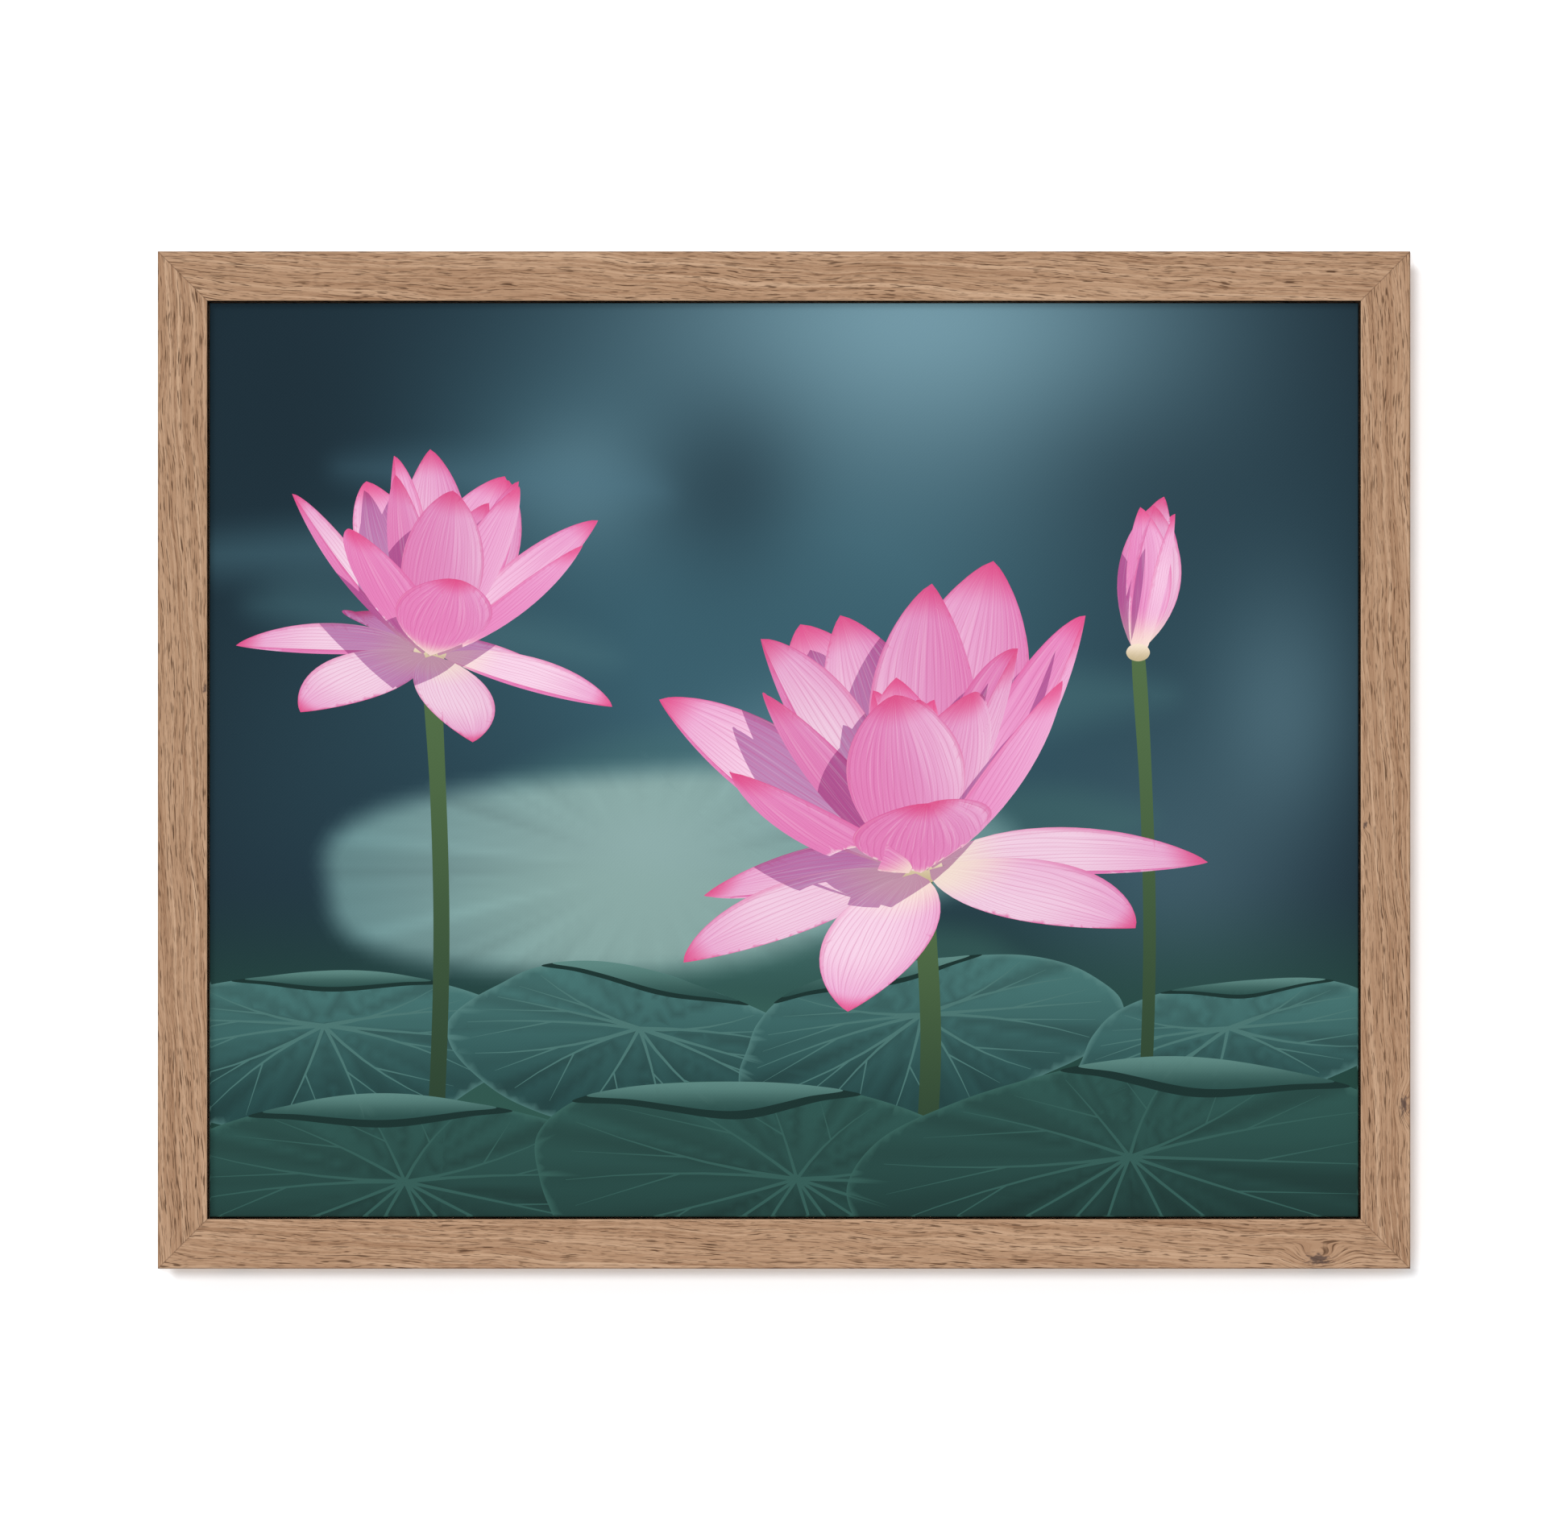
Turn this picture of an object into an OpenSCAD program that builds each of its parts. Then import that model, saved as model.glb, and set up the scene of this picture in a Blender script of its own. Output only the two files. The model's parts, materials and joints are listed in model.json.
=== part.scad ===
// Floating frame: a stretched canvas print held in a solid oak tray moulding.
// X runs across the picture, Z is up and Y runs from the front face to the wall.
// The origin is the centre of the wall plane that the four rubber bumpers touch.

/* [Oak frame] */
// Overall width across the oak
frame_w = 544; // [300:1:1200]
// Overall height of the oak
frame_h = 442; // [300:1:1200]
// Width of the oak face seen from the front
face_w = 21.5; // [16:0.5:40]
// Depth of the oak from face to back
frame_d = 34; // [28:0.5:60]
// Reach of the base flange behind the canvas
flange_w = 20; // [16:0.5:26]
// Thickness of the base flange
flange_t = 9; // [6:0.5:12]
// Radius that softens each long edge
arris_r = 0.6; // [0.3:0.1:1.2]

/* [Canvas] */
// Shadow gap between canvas and oak
float_gap = 1; // [0.6:0.1:4]
// Depth of the picture behind the oak face
recess = 3; // [1:0.5:6]
// Thickness of the primed cotton
canvas_t = 0.5; // [0.3:0.1:0.8]
// Distance from the flange's inner edge to the line of staples
staple_margin = 6; // [3:0.5:8]
// Width of canvas left free past the staples
hem = 4; // [2:0.5:6]

/* [Stretcher] */
// Width of each pine bar
bar_w = 40; // [38:0.5:60]
// Width of the raised lip that carries the canvas
lip_w = 6; // [4:0.5:10]
// How far the bar's face falls away from the canvas
relief = 3; // [1:0.5:4]
// Thickness of each tongue in a corner joint
tongue_t = 4; // [3:0.25:5]
// Depth of a key's slot into the bar
slot_d = 26; // [20:0.5:30]
// Width of a key's slot at its mouth
slot_mouth = 12; // [10:0.5:16]
// Width of a key's slot at its closed end
slot_end = 9; // [6:0.5:9.5]
// How far a key stands out of its slot
key_proud = 8; // [5:0.5:12]
// Room left for driving a key further in
key_room = 3; // [1:0.5:5]

/* [Fixings] */
// Shank diameter of the wood screws
screw_d = 3.5; // [3:0.1:4]
// Head diameter of the wood screws
head_d = 7; // [6:0.1:8]
// Length of the screws that hold the canvas
fixing_l = 24; // [20:1:26]
// Length of the screws that hold the hangers
hanger_screw_l = 14; // [10:1:20]
// Share of a side's length between its two fixing screws
screw_spread = 0.6; // [0.3:0.05:0.7]
// Distance between neighbouring staples
staple_pitch = 50; // [30:1:80]

/* [Hangers] */
// Height of the hanger axis below the top edge
hanger_drop = 110; // [80:1:160]
// Distance of the hanger's middle from the side edge
hanger_inset = 14; // [13:0.5:20]
// Width of the strap
strap_w = 12; // [10:0.5:14]
// Thickness of the strap's steel
strap_t = 0.8; // [0.6:0.1:1]
// Wire diameter of the ring
ring_wire = 2; // [1.6:0.1:2.2]
// Radius of the ring's bow to the middle of its wire
ring_r = 10; // [9:0.5:12]

/* [Bumpers] */
// Height of a rubber bumper
bumper_h = 5; // [4.5:0.1:8]
// Diameter of a rubber bumper
bumper_d = 10; // [8:0.5:14]
// Distance of a bumper's middle from the frame's corner along the rail
bumper_inset = 36; // [30:1:60]

/* [Hidden] */

$fn = 48;
// Clearances
joint_c = 0.1;        // key to its slot, each side
hole_c = 0.25;        // screw in a clearance hole, on radius
pilot_c = 0.05;       // screw in its pilot hole, on radius
pin_c = 0.08;         // ring wire in the strap's eye, on radius
steel_c = 0.05;       // staples and nails in the slits they cut, each side
rest_c = 0.3;         // hanging ring to the strap behind it
cut = 5;              // how far cutting shapes run past what they cut

// Planes along Y, from the wall forwards
back_y = -bumper_h;
face_y = back_y - frame_d;
flange_y = back_y - flange_t;
canvas_face_y = face_y + recess;
bar_face_y = canvas_face_y + canvas_t;
bar_back_y = flange_y - canvas_t;
bar_t = bar_back_y - bar_face_y;

// Half sizes in the picture plane
opening_x = frame_w/2 - face_w;
opening_z = frame_h/2 - face_w;
canvas_x = opening_x - float_gap;
canvas_z = opening_z - float_gap;
bar_x = canvas_x - canvas_t;
bar_z = canvas_z - canvas_t;

// Corner joint: front cheek, tongue of the cross bars, tongue of the upright bars, back cheek
cheek_t = (bar_t - 2*tongue_t)/2;
cross_tongue = [bar_face_y + cheek_t, bar_face_y + cheek_t + tongue_t];
upright_tongue = [cross_tongue[1], cross_tongue[1] + tongue_t];

// The screw line runs along the middle of the wood that the flange and the bar share
screw_inset = face_w + (float_gap + canvas_t + flange_w)/2;
washer_t = 0.8;
washer_d = head_d + 2;
head_h = 2.2;
recess_r = 1.5;

// Cotton lies behind the bars as far as this from the canvas's edge
staple_inset = flange_w - float_gap + staple_margin;
turnover = staple_inset + hem;

// Each side is drawn as the top one and turned about Y by its angle
TOP = 0;
RIGHT = 90;
BOTTOM = 180;
LEFT = -90;
SIDES = [TOP, RIGHT, BOTTOM, LEFT];
function is_cross(side) = side == TOP || side == BOTTOM;
function frame_half(side) = is_cross(side) ? frame_w/2 : frame_h/2;
function frame_edge(side) = is_cross(side) ? frame_h/2 : frame_w/2;
function bar_half(side) = is_cross(side) ? bar_x : bar_z;
function bar_edge(side) = is_cross(side) ? bar_z : bar_x;

// Hanger: its axis lies above two layers of strap and the eye wraps the ring's wire
eye_r = ring_wire/2 + pin_c;
eye_outer = eye_r + strap_t;
hanger_y = back_y + eye_outer;
hanger_x = frame_w/2 - hanger_inset;
hanger_z = frame_h/2 - hanger_drop;
strap_l = 34;
strap_hole_drops = [17, 28];
ring_rest_tilt = asin((2*strap_t + ring_wire/2 + rest_c - eye_outer)/ring_r);

// Shapes in the plane of the picture, carried from y0 to y1
module slab(y0, y1) {
  translate([0, y1, 0]) rotate([90, 0, 0]) linear_extrude(y1 - y0) children();
}

// A bar along X whose section is a list of [y, z] points
module beam(half, section) {
  translate([-half, 0, 0]) rotate([90, 0, 90]) linear_extrude(2*half) polygon(section);
}

// A cylinder along Y from y0 to y1
module rod(y0, y1, r) {
  translate([0, y1, 0]) rotate([90, 0, 0]) cylinder(h = y1 - y0, r = r);
}

// Points of a quarter round about [y, z], starting at angle a
function quarter(y, z, r, a, steps = 4) =
  [for (i = [0:steps]) [y + r*cos(a + 90*i/steps), z + r*sin(a + 90*i/steps)]];

// Section of the oak: a wall that shows as the face, and a flange behind the canvas
function oak_section(edge) = concat(
  quarter(face_y + arris_r, edge - arris_r, arris_r, 90),
  quarter(face_y + arris_r, edge - face_w + arris_r, arris_r, 180),
  [[flange_y, edge - face_w]],
  [[flange_y, edge - face_w - flange_w], [back_y, edge - face_w - flange_w]],
  quarter(back_y - arris_r, edge - arris_r, arris_r, 0));

// Outline of one side between its two mitres
module mitre_field(half, edge, reach) {
  polygon([[-half, edge], [half, edge], [half - reach, edge - reach], [reach - half, edge - reach]]);
}

// Where the fixing screws stand along one side
module at_fixings(side) {
  for (s = [-1, 1])
    translate([s*screw_spread*frame_half(side), 0, frame_edge(side) - screw_inset]) children();
}

// Where the two hangers stand
module at_hanger(s) {
  translate([s*hanger_x, 0, hanger_z]) children();
}

module hanger_holes(y0, y1, r) {
  for (drop = strap_hole_drops) translate([0, 0, -drop]) rod(y0, y1, r);
}

module oak_bar(side) {
  half = frame_half(side);
  edge = frame_edge(side);
  color("#af8b6e") difference() {
    rotate([0, side, 0]) difference() {
      intersection() {
        beam(half, oak_section(edge));
        slab(face_y - cut, back_y + cut) mitre_field(half, edge, face_w + flange_w + cut);
      }
      at_fixings(side) rod(flange_y - cut, back_y + cut, screw_d/2 + hole_c);
    }
    if (!is_cross(side))
      at_hanger(side == RIGHT ? 1 : -1)
        hanger_holes(back_y - hanger_screw_l - pilot_c, back_y + cut, screw_d/2 + pilot_c);
    at_v_nails() v_nail(steel_c, cut);
  }
}

// A bent steel strip driven across each mitre from behind, c wider all round and longer by top
nail_leg = 5;
nail_t = 0.6;
nail_h = 10;
nail_insets = [6, 14];
module v_nail(c = 0, top = 0) {
  leg = nail_leg + c;
  t = nail_t + c;
  slab(back_y - nail_h - c, back_y + top)
    polygon([[-c, -c], [leg, -c], [leg, t], [t, t], [t, leg], [-c, leg]]);
}

module at_v_nails() {
  for (mx = [0, 1], mz = [0, 1], inset = nail_insets)
    mirror([mx, 0, 0]) mirror([0, 0, mz])
      translate([frame_w/2 - inset, 0, frame_h/2 - inset]) rotate([0, 180, 0]) children();
}

module mitre_v_nails() {
  color("#9a9da0") at_v_nails() v_nail();
}

// Primed cotton: a face, four sides and a turnover behind the bars
module canvas_print() {
  color("#31505f") difference() {
    slab(canvas_face_y, flange_y) square([2*canvas_x, 2*canvas_z], center = true);
    slab(bar_face_y, bar_back_y) square([2*bar_x, 2*bar_z], center = true);
    slab(bar_back_y - cut, flange_y + cut)
      square([2*(canvas_x - turnover), 2*(canvas_z - turnover)], center = true);
    for (side = SIDES) rotate([0, side, 0]) {
      at_fixings(side) rod(bar_back_y - canvas_t, flange_y + cut, screw_d/2 + hole_c);
      at_staples(side) staple_legs(steel_c);
    }
  }
}

// Section of a pine bar: full thickness at the lip, then falling away from the canvas
function bar_section(edge) = [
  [bar_face_y, edge], [bar_face_y, edge - lip_w], [bar_face_y + relief, edge - bar_w],
  [bar_back_y, edge - bar_w], [bar_back_y, edge]];

// What a mitre takes off a bar's end
module beyond_mitre(half, edge) {
  polygon([[half + cut, edge + cut], [half + cut, edge - bar_w - cut], [half - bar_w - cut, edge - bar_w - cut]]);
}

// The square where two bars cross
module corner_square(half, edge) {
  translate([half - bar_w, edge - bar_w - cut]) square([bar_w + cut, bar_w + 2*cut]);
}

// A key's tapered outline from depth q0 to depth q1 inside its slot
key_slope = (slot_mouth - slot_end)/slot_d;
module wedge(half, edge, q0, q1, c) {
  x = half - bar_w;
  z = edge - bar_w;
  polygon([[x - c, z + q0], [x - c, z + q1],
    [x + c - slot_mouth + key_slope*q1, z + q1], [x + c - slot_mouth + key_slope*q0, z + q0]]);
}

module stretcher_bar(side) {
  half = bar_half(side);
  edge = bar_edge(side);
  own = is_cross(side) ? cross_tongue : upright_tongue;
  other = is_cross(side) ? upright_tongue : cross_tongue;
  color("#d9bd8b") rotate([0, side, 0]) difference() {
    beam(half, bar_section(edge));
    for (m = [0, 1]) mirror([m, 0, 0]) {
      slab(bar_face_y - cut, min(own[0], other[0])) beyond_mitre(half, edge);
      slab(max(own[1], other[1]), bar_back_y + cut) beyond_mitre(half, edge);
      slab(other[0], other[1]) {
        corner_square(half, edge);
        wedge(half, edge, -cut, slot_d, 0);
      }
    }
    at_fixings(side) rod(back_y + washer_t - fixing_l - pilot_c, bar_back_y + cut, screw_d/2 + pilot_c);
    at_staples(side) staple_legs(steel_c);
  }
}

// One beech key in the slot at the chosen end of a bar
module key(side, mirrored) {
  other = is_cross(side) ? upright_tongue : cross_tongue;
  color("#c79a63") rotate([0, side, 0]) mirror([mirrored, 0, 0])
    slab(other[0] + joint_c, other[1] - joint_c)
      wedge(bar_half(side), bar_edge(side), -key_proud, slot_d - key_room, joint_c);
}

// A staple of flat wire, crown behind the canvas and legs in the bar
staple_w = 10;
staple_leg = 7;
staple_wire = [1.2, 0.6];
module staple_legs(c = 0) {
  for (s = [-1, 1])
    translate([s*(staple_w - staple_wire[1])/2 - staple_wire[1]/2 - c, flange_y - staple_leg - c, -staple_wire[0]/2 - c])
      cube([staple_wire[1] + 2*c, staple_leg + staple_wire[1]/2 + c, staple_wire[0] + 2*c]);
}

module staple() {
  staple_legs();
  translate([-staple_w/2, flange_y, -staple_wire[0]/2]) cube([staple_w, staple_wire[1], staple_wire[0]]);
}

// Staples stand at an even spacing, and their legs keep clear of the two keys
module at_staples(side) {
  reach = bar_half(side) - bar_w - slot_mouth - staple_w;
  count = round(reach/staple_pitch);
  for (i = [-count:count])
    translate([i*reach/count, 0, canvas_t + bar_edge(side) - staple_inset]) children();
}

module canvas_staples() {
  color("#b9bcbf")
    for (side = SIDES) rotate([0, side, 0]) at_staples(side) staple();
}

// A pan-head screw along Y with its head's underside at y and a cross recess
module screw(y, length) {
  difference() {
    union() {
      rod(y - length + screw_d, y + head_h/2, screw_d/2);
      translate([0, y - length + screw_d, 0]) rotate([90, 0, 0]) cylinder(h = screw_d, r1 = screw_d/2, r2 = 0.3);
      rod(y, y + head_h*0.6, head_d/2);
      translate([0, y + head_h*0.6, 0]) rotate([-90, 0, 0]) cylinder(h = head_h*0.4, r1 = head_d/2, r2 = head_d/3);
    }
    for (a = [0, 90]) rotate([0, a, 0])
      translate([-recess_r, y + head_h/2, -0.4]) cube([2*recess_r, head_h, 0.8]);
  }
}

module fixing_screws() {
  color("#c2b280")
    for (side = SIDES) rotate([0, side, 0]) at_fixings(side) screw(back_y + washer_t, fixing_l);
}

module fixing_washers() {
  color("#b9bcbf")
    for (side = SIDES)
      rotate([0, side, 0]) at_fixings(side) difference() {
        rod(back_y, back_y + washer_t, washer_d/2);
        rod(back_y - cut, back_y + cut, screw_d/2 + hole_c);
      }
}

// A strap folded in two round the ring's wire
module hanger_strap(s) {
  color("#b9bcbf") at_hanger(s) difference() {
    union() {
      translate([-strap_w/2, back_y, -strap_l]) cube([strap_w, strap_t, strap_l]);
      translate([-strap_w/2, back_y, -strap_l]) cube([strap_w, 2*strap_t, strap_l - eye_outer]);
      translate([-strap_w/2, hanger_y, 0]) rotate([0, 90, 0]) cylinder(h = strap_w, r = eye_outer);
    }
    translate([-strap_w/2 - cut, hanger_y, 0]) rotate([0, 90, 0]) cylinder(h = strap_w + 2*cut, r = eye_r);
    hanger_holes(back_y - cut, back_y + cut, screw_d/2 + hole_c);
  }
}

// A D of round wire that hangs from its straight side
module d_ring(s) {
  color("#cfd2d4") translate([s*hanger_x, hanger_y, hanger_z]) rotate([ring_rest_tilt, 0, 0]) {
    translate([-ring_r, 0, 0]) rotate([0, 90, 0]) cylinder(h = 2*ring_r, r = ring_wire/2);
    rotate([-90, 0, 0]) rotate_extrude(angle = 180) translate([ring_r, 0]) circle(r = ring_wire/2);
    for (e = [-1, 1]) translate([e*ring_r, 0, 0]) sphere(r = ring_wire/2);
  }
}

module hanger_screws() {
  color("#c2b280")
    for (s = [-1, 1], drop = strap_hole_drops)
      at_hanger(s) translate([0, 0, -drop]) screw(back_y + 2*strap_t, hanger_screw_l);
}

// A moulded rubber foot with a bevelled rim and a flat that meets the wall
bevel = 1.2;
module bumper(sx, sz) {
  color("#3a3a3a")
    translate([sx*(frame_w/2 - bumper_inset), back_y, sz*(frame_h/2 - face_w/2)]) rotate([-90, 0, 0]) {
      cylinder(h = bumper_h - bevel, r = bumper_d/2);
      translate([0, 0, bumper_h - bevel]) cylinder(h = bevel, r1 = bumper_d/2, r2 = bumper_d/2 - bevel);
    }
}

oak_bar(TOP);  // oak_rail_top
oak_bar(BOTTOM);  // oak_rail_bottom
oak_bar(LEFT);  // oak_stile_left
oak_bar(RIGHT);  // oak_stile_right
mitre_v_nails();
canvas_print();
stretcher_bar(TOP);  // stretcher_bar_top
stretcher_bar(BOTTOM);  // stretcher_bar_bottom
stretcher_bar(LEFT);  // stretcher_bar_left
stretcher_bar(RIGHT);  // stretcher_bar_right
key(TOP, 1);  // key_top_left
key(TOP, 0);  // key_top_right
key(BOTTOM, 0);  // key_bottom_left
key(BOTTOM, 1);  // key_bottom_right
key(LEFT, 0);  // key_left_top
key(LEFT, 1);  // key_left_bottom
key(RIGHT, 1);  // key_right_top
key(RIGHT, 0);  // key_right_bottom
canvas_staples();
fixing_screws();
fixing_washers();
hanger_strap(-1);  // hanger_strap_left
hanger_strap(1);  // hanger_strap_right
d_ring(-1);  // d_ring_left
d_ring(1);  // d_ring_right
hanger_screws();
bumper(-1, 1);  // bumper_top_left
bumper(1, 1);  // bumper_top_right
bumper(-1, -1);  // bumper_bottom_left
bumper(1, -1);  // bumper_bottom_right
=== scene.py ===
# %% [markdown]
# # A floating frame with a stretched canvas print
# A floater is an oak tray: four mitred bars with an L-shaped section. The canvas is screwed in from behind,
# so its face stands free inside the oak with a thin dark gap around it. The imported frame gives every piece
# its size and place. This file gives the wood its grain, the cotton its picture, and the scene its light.

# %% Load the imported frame
import json

import bpy
import numpy as np
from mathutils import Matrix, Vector
from mathutils.geometry import delaunay_2d_cdt

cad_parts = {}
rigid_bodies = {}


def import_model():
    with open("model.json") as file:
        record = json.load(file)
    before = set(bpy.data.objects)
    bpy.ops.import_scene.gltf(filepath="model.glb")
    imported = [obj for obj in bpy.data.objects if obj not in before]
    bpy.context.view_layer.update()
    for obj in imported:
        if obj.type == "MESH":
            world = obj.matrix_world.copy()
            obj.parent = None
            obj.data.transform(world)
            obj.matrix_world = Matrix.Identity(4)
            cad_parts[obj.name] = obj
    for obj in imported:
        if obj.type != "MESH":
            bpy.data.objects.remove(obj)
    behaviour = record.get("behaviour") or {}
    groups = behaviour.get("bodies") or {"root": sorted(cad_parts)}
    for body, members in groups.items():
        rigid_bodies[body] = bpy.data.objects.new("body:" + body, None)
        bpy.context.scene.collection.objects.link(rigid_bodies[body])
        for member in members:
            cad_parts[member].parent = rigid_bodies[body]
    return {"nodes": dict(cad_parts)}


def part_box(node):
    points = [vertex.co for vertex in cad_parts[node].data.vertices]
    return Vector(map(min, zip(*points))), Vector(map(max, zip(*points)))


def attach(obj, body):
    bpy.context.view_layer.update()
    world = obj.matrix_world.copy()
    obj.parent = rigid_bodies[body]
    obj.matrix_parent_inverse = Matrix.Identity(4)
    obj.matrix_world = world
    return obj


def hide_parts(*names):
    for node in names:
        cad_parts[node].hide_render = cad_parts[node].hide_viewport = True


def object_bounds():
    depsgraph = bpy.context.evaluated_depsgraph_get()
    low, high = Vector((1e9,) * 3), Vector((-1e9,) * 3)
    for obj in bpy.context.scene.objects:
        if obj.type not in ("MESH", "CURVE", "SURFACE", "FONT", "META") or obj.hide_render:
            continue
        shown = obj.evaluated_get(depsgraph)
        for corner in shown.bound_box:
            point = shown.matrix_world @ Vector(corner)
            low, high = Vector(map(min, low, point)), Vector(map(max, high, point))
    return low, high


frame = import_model()
cad_box = [list(corner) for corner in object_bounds()]
MM = 0.001

# %% [markdown]
# ## Writing shader maths as Python
# A material is a graph of nodes. Typing every node and link by hand hides the idea behind it, so one small
# class wraps a socket and turns Python's operators into Math nodes. Everything else goes through one method
# that takes a node's type, its settings and its inputs.

# %% A socket that takes part in arithmetic


class Value:
    """A shader socket. Each operator adds the Math node that works it out."""

    def __init__(self, finish, socket):
        self.finish = finish
        self.socket = socket

    def math(self, operation, *others):
        inputs = dict(enumerate((self, *others)))
        return self.finish.node("ShaderNodeMath", {"operation": operation}, inputs)["Value"]

    def __add__(self, other):
        return self.math("ADD", other)

    def __sub__(self, other):
        return self.math("SUBTRACT", other)

    def __rsub__(self, other):
        return self.math("MULTIPLY_ADD", -1.0, other)

    def __mul__(self, other):
        return self.math("MULTIPLY", other)

    def __truediv__(self, other):
        return self.math("DIVIDE", other)

    __radd__ = __add__
    __rmul__ = __mul__

    def between(self, low, high):
        """0 at low, 1 at high, with smooth ends."""
        names = {"Value": self, "From Min": low, "From Max": high}
        made = self.finish.node("ShaderNodeMapRange", {"interpolation_type": "SMOOTHSTEP"}, names)
        return made["Result"]


# %% A material and its one way to add a node


class Made:
    """The outputs of a node that was just added, by name."""

    def __init__(self, finish, node):
        self.finish = finish
        self.node = node

    def __getitem__(self, name):
        return Value(self.finish, find(self.node.outputs, name))


def find(sockets, key):
    """The socket with that number, or the one in use with that name."""
    if isinstance(key, int):
        return sockets[key]
    return next(s for s in sockets if s.name == key and not s.is_unavailable)


def to_light(colour):
    """Screen values of 0 to 255 as the light that they stand for: the usual gamma curve, undone."""
    c = np.clip(np.asarray(colour, float), 0, 255) / 255
    return np.where(c < 0.04045, c / 12.92, ((c + 0.055) / 1.055) ** 2.4)


def linear(red, green, blue):
    """One screen colour as light, with a fourth number of 1, as a socket wants it."""
    return (*to_light((red, green, blue)).tolist(), 1.0)


class Finish:
    """One procedural material around a Principled shader. fixed holds what is the same all over."""

    def __init__(self, name, fixed):
        self.material = bpy.data.materials.new(name)
        self.material.use_nodes = True
        self.tree = self.material.node_tree
        self.shader = self.tree.nodes["Principled BSDF"]
        for socket, value in fixed.items():
            self.shader.inputs[socket].default_value = value

    def node(self, kind, settings, inputs):
        node = self.tree.nodes.new(kind)
        for key, value in settings.items():
            if key == "stops":
                ramp = node.color_ramp.elements
                while len(ramp) < len(value):
                    ramp.new(0.5)
                for element, (place, colour) in zip(ramp, value):
                    element.position = place
                    element.color = colour
            else:
                setattr(node, key, value)
        for key, value in inputs.items():
            socket = find(node.inputs, key)
            if isinstance(value, Value):
                self.tree.links.new(value.socket, socket)
            else:
                socket.default_value = value
        return Made(self, node)

    def place(self):
        """Object coordinates as three values, in metres."""
        where = self.node("ShaderNodeTexCoord", {}, {})["Object"]
        axes = self.node("ShaderNodeSeparateXYZ", {}, {"Vector": where})
        return axes["X"], axes["Y"], axes["Z"]

    def vector(self, x, y, z):
        return self.node("ShaderNodeCombineXYZ", {}, {"X": x, "Y": y, "Z": z})["Vector"]

    def noise(self, vector, scale=1.0, detail=2.0, roughness=0.5):
        inputs = {"Vector": vector, "Scale": scale, "Detail": detail, "Roughness": roughness}
        return self.node("ShaderNodeTexNoise", {}, inputs)["Fac"]

    def ramp(self, value, stops):
        return self.node("ShaderNodeValToRGB", {"stops": stops}, {"Fac": value})["Color"]

    def mix(self, factor, first, second, blend="MIX"):
        settings = {"data_type": "RGBA", "blend_type": blend}
        return self.node("ShaderNodeMix", settings, {"Factor": factor, "A": first, "B": second})["Result"]

    def drive(self, socket, value):
        self.tree.links.new(value.socket, self.shader.inputs[socket])

    def bump(self, height, distance, strength=1.0):
        """height of 0 to 1 stands for distance metres of relief."""
        inputs = {"Height": height, "Distance": distance, "Strength": strength}
        self.drive("Normal", self.node("ShaderNodeBump", {}, inputs)["Normal"])


def cover(node_name, finish):
    """Gives a CAD node its finish."""
    mesh = frame["nodes"][node_name].data
    mesh.materials.clear()
    mesh.materials.append(finish.material)


print("shader helpers ready")

# %% [markdown]
# ## Oak
# Oak shows three scales of pattern. Broad bands are the growth rings, cut lengthwise so that they run along
# the bar with a slight wander. Short dark dashes inside them are open pores, a few millimetres long and a
# fraction of one wide. A very fine fibre lies over everything. All three are the same noise stretched along
# the grain by different amounts, so each bar gets its own material with its grain turned along its length.
# A knot pushes the rings aside, which is a bump added to the coordinate that the rings are read from, and
# its heart is broken up by a small noise. Last come a fine dark line where two bars meet at the mitre, a
# painted highlight along the inner arris, a pale line as if light caught that edge, and painted shade along
# the outer arris, a darker line as if that edge turned away from the light.

# %% The oak finish
OAK_DARK = linear(148, 108, 77)
OAK_MID = linear(176, 138, 107)
OAK_PALE = linear(201, 165, 134)
OAK_PORE = linear(66, 36, 12)
OAK_KNOT = linear(66, 48, 46)
FLOAT_GAP = 1.0  # mm of air between the canvas and the oak
OUTER_X, OUTER_Z = cad_box[1][0] / MM, cad_box[1][2] / MM
FACE_WIDE = OUTER_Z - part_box("canvas_print")[1].z / MM - FLOAT_GAP
OAK_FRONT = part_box("oak_rail_top")[0].y / MM


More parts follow.
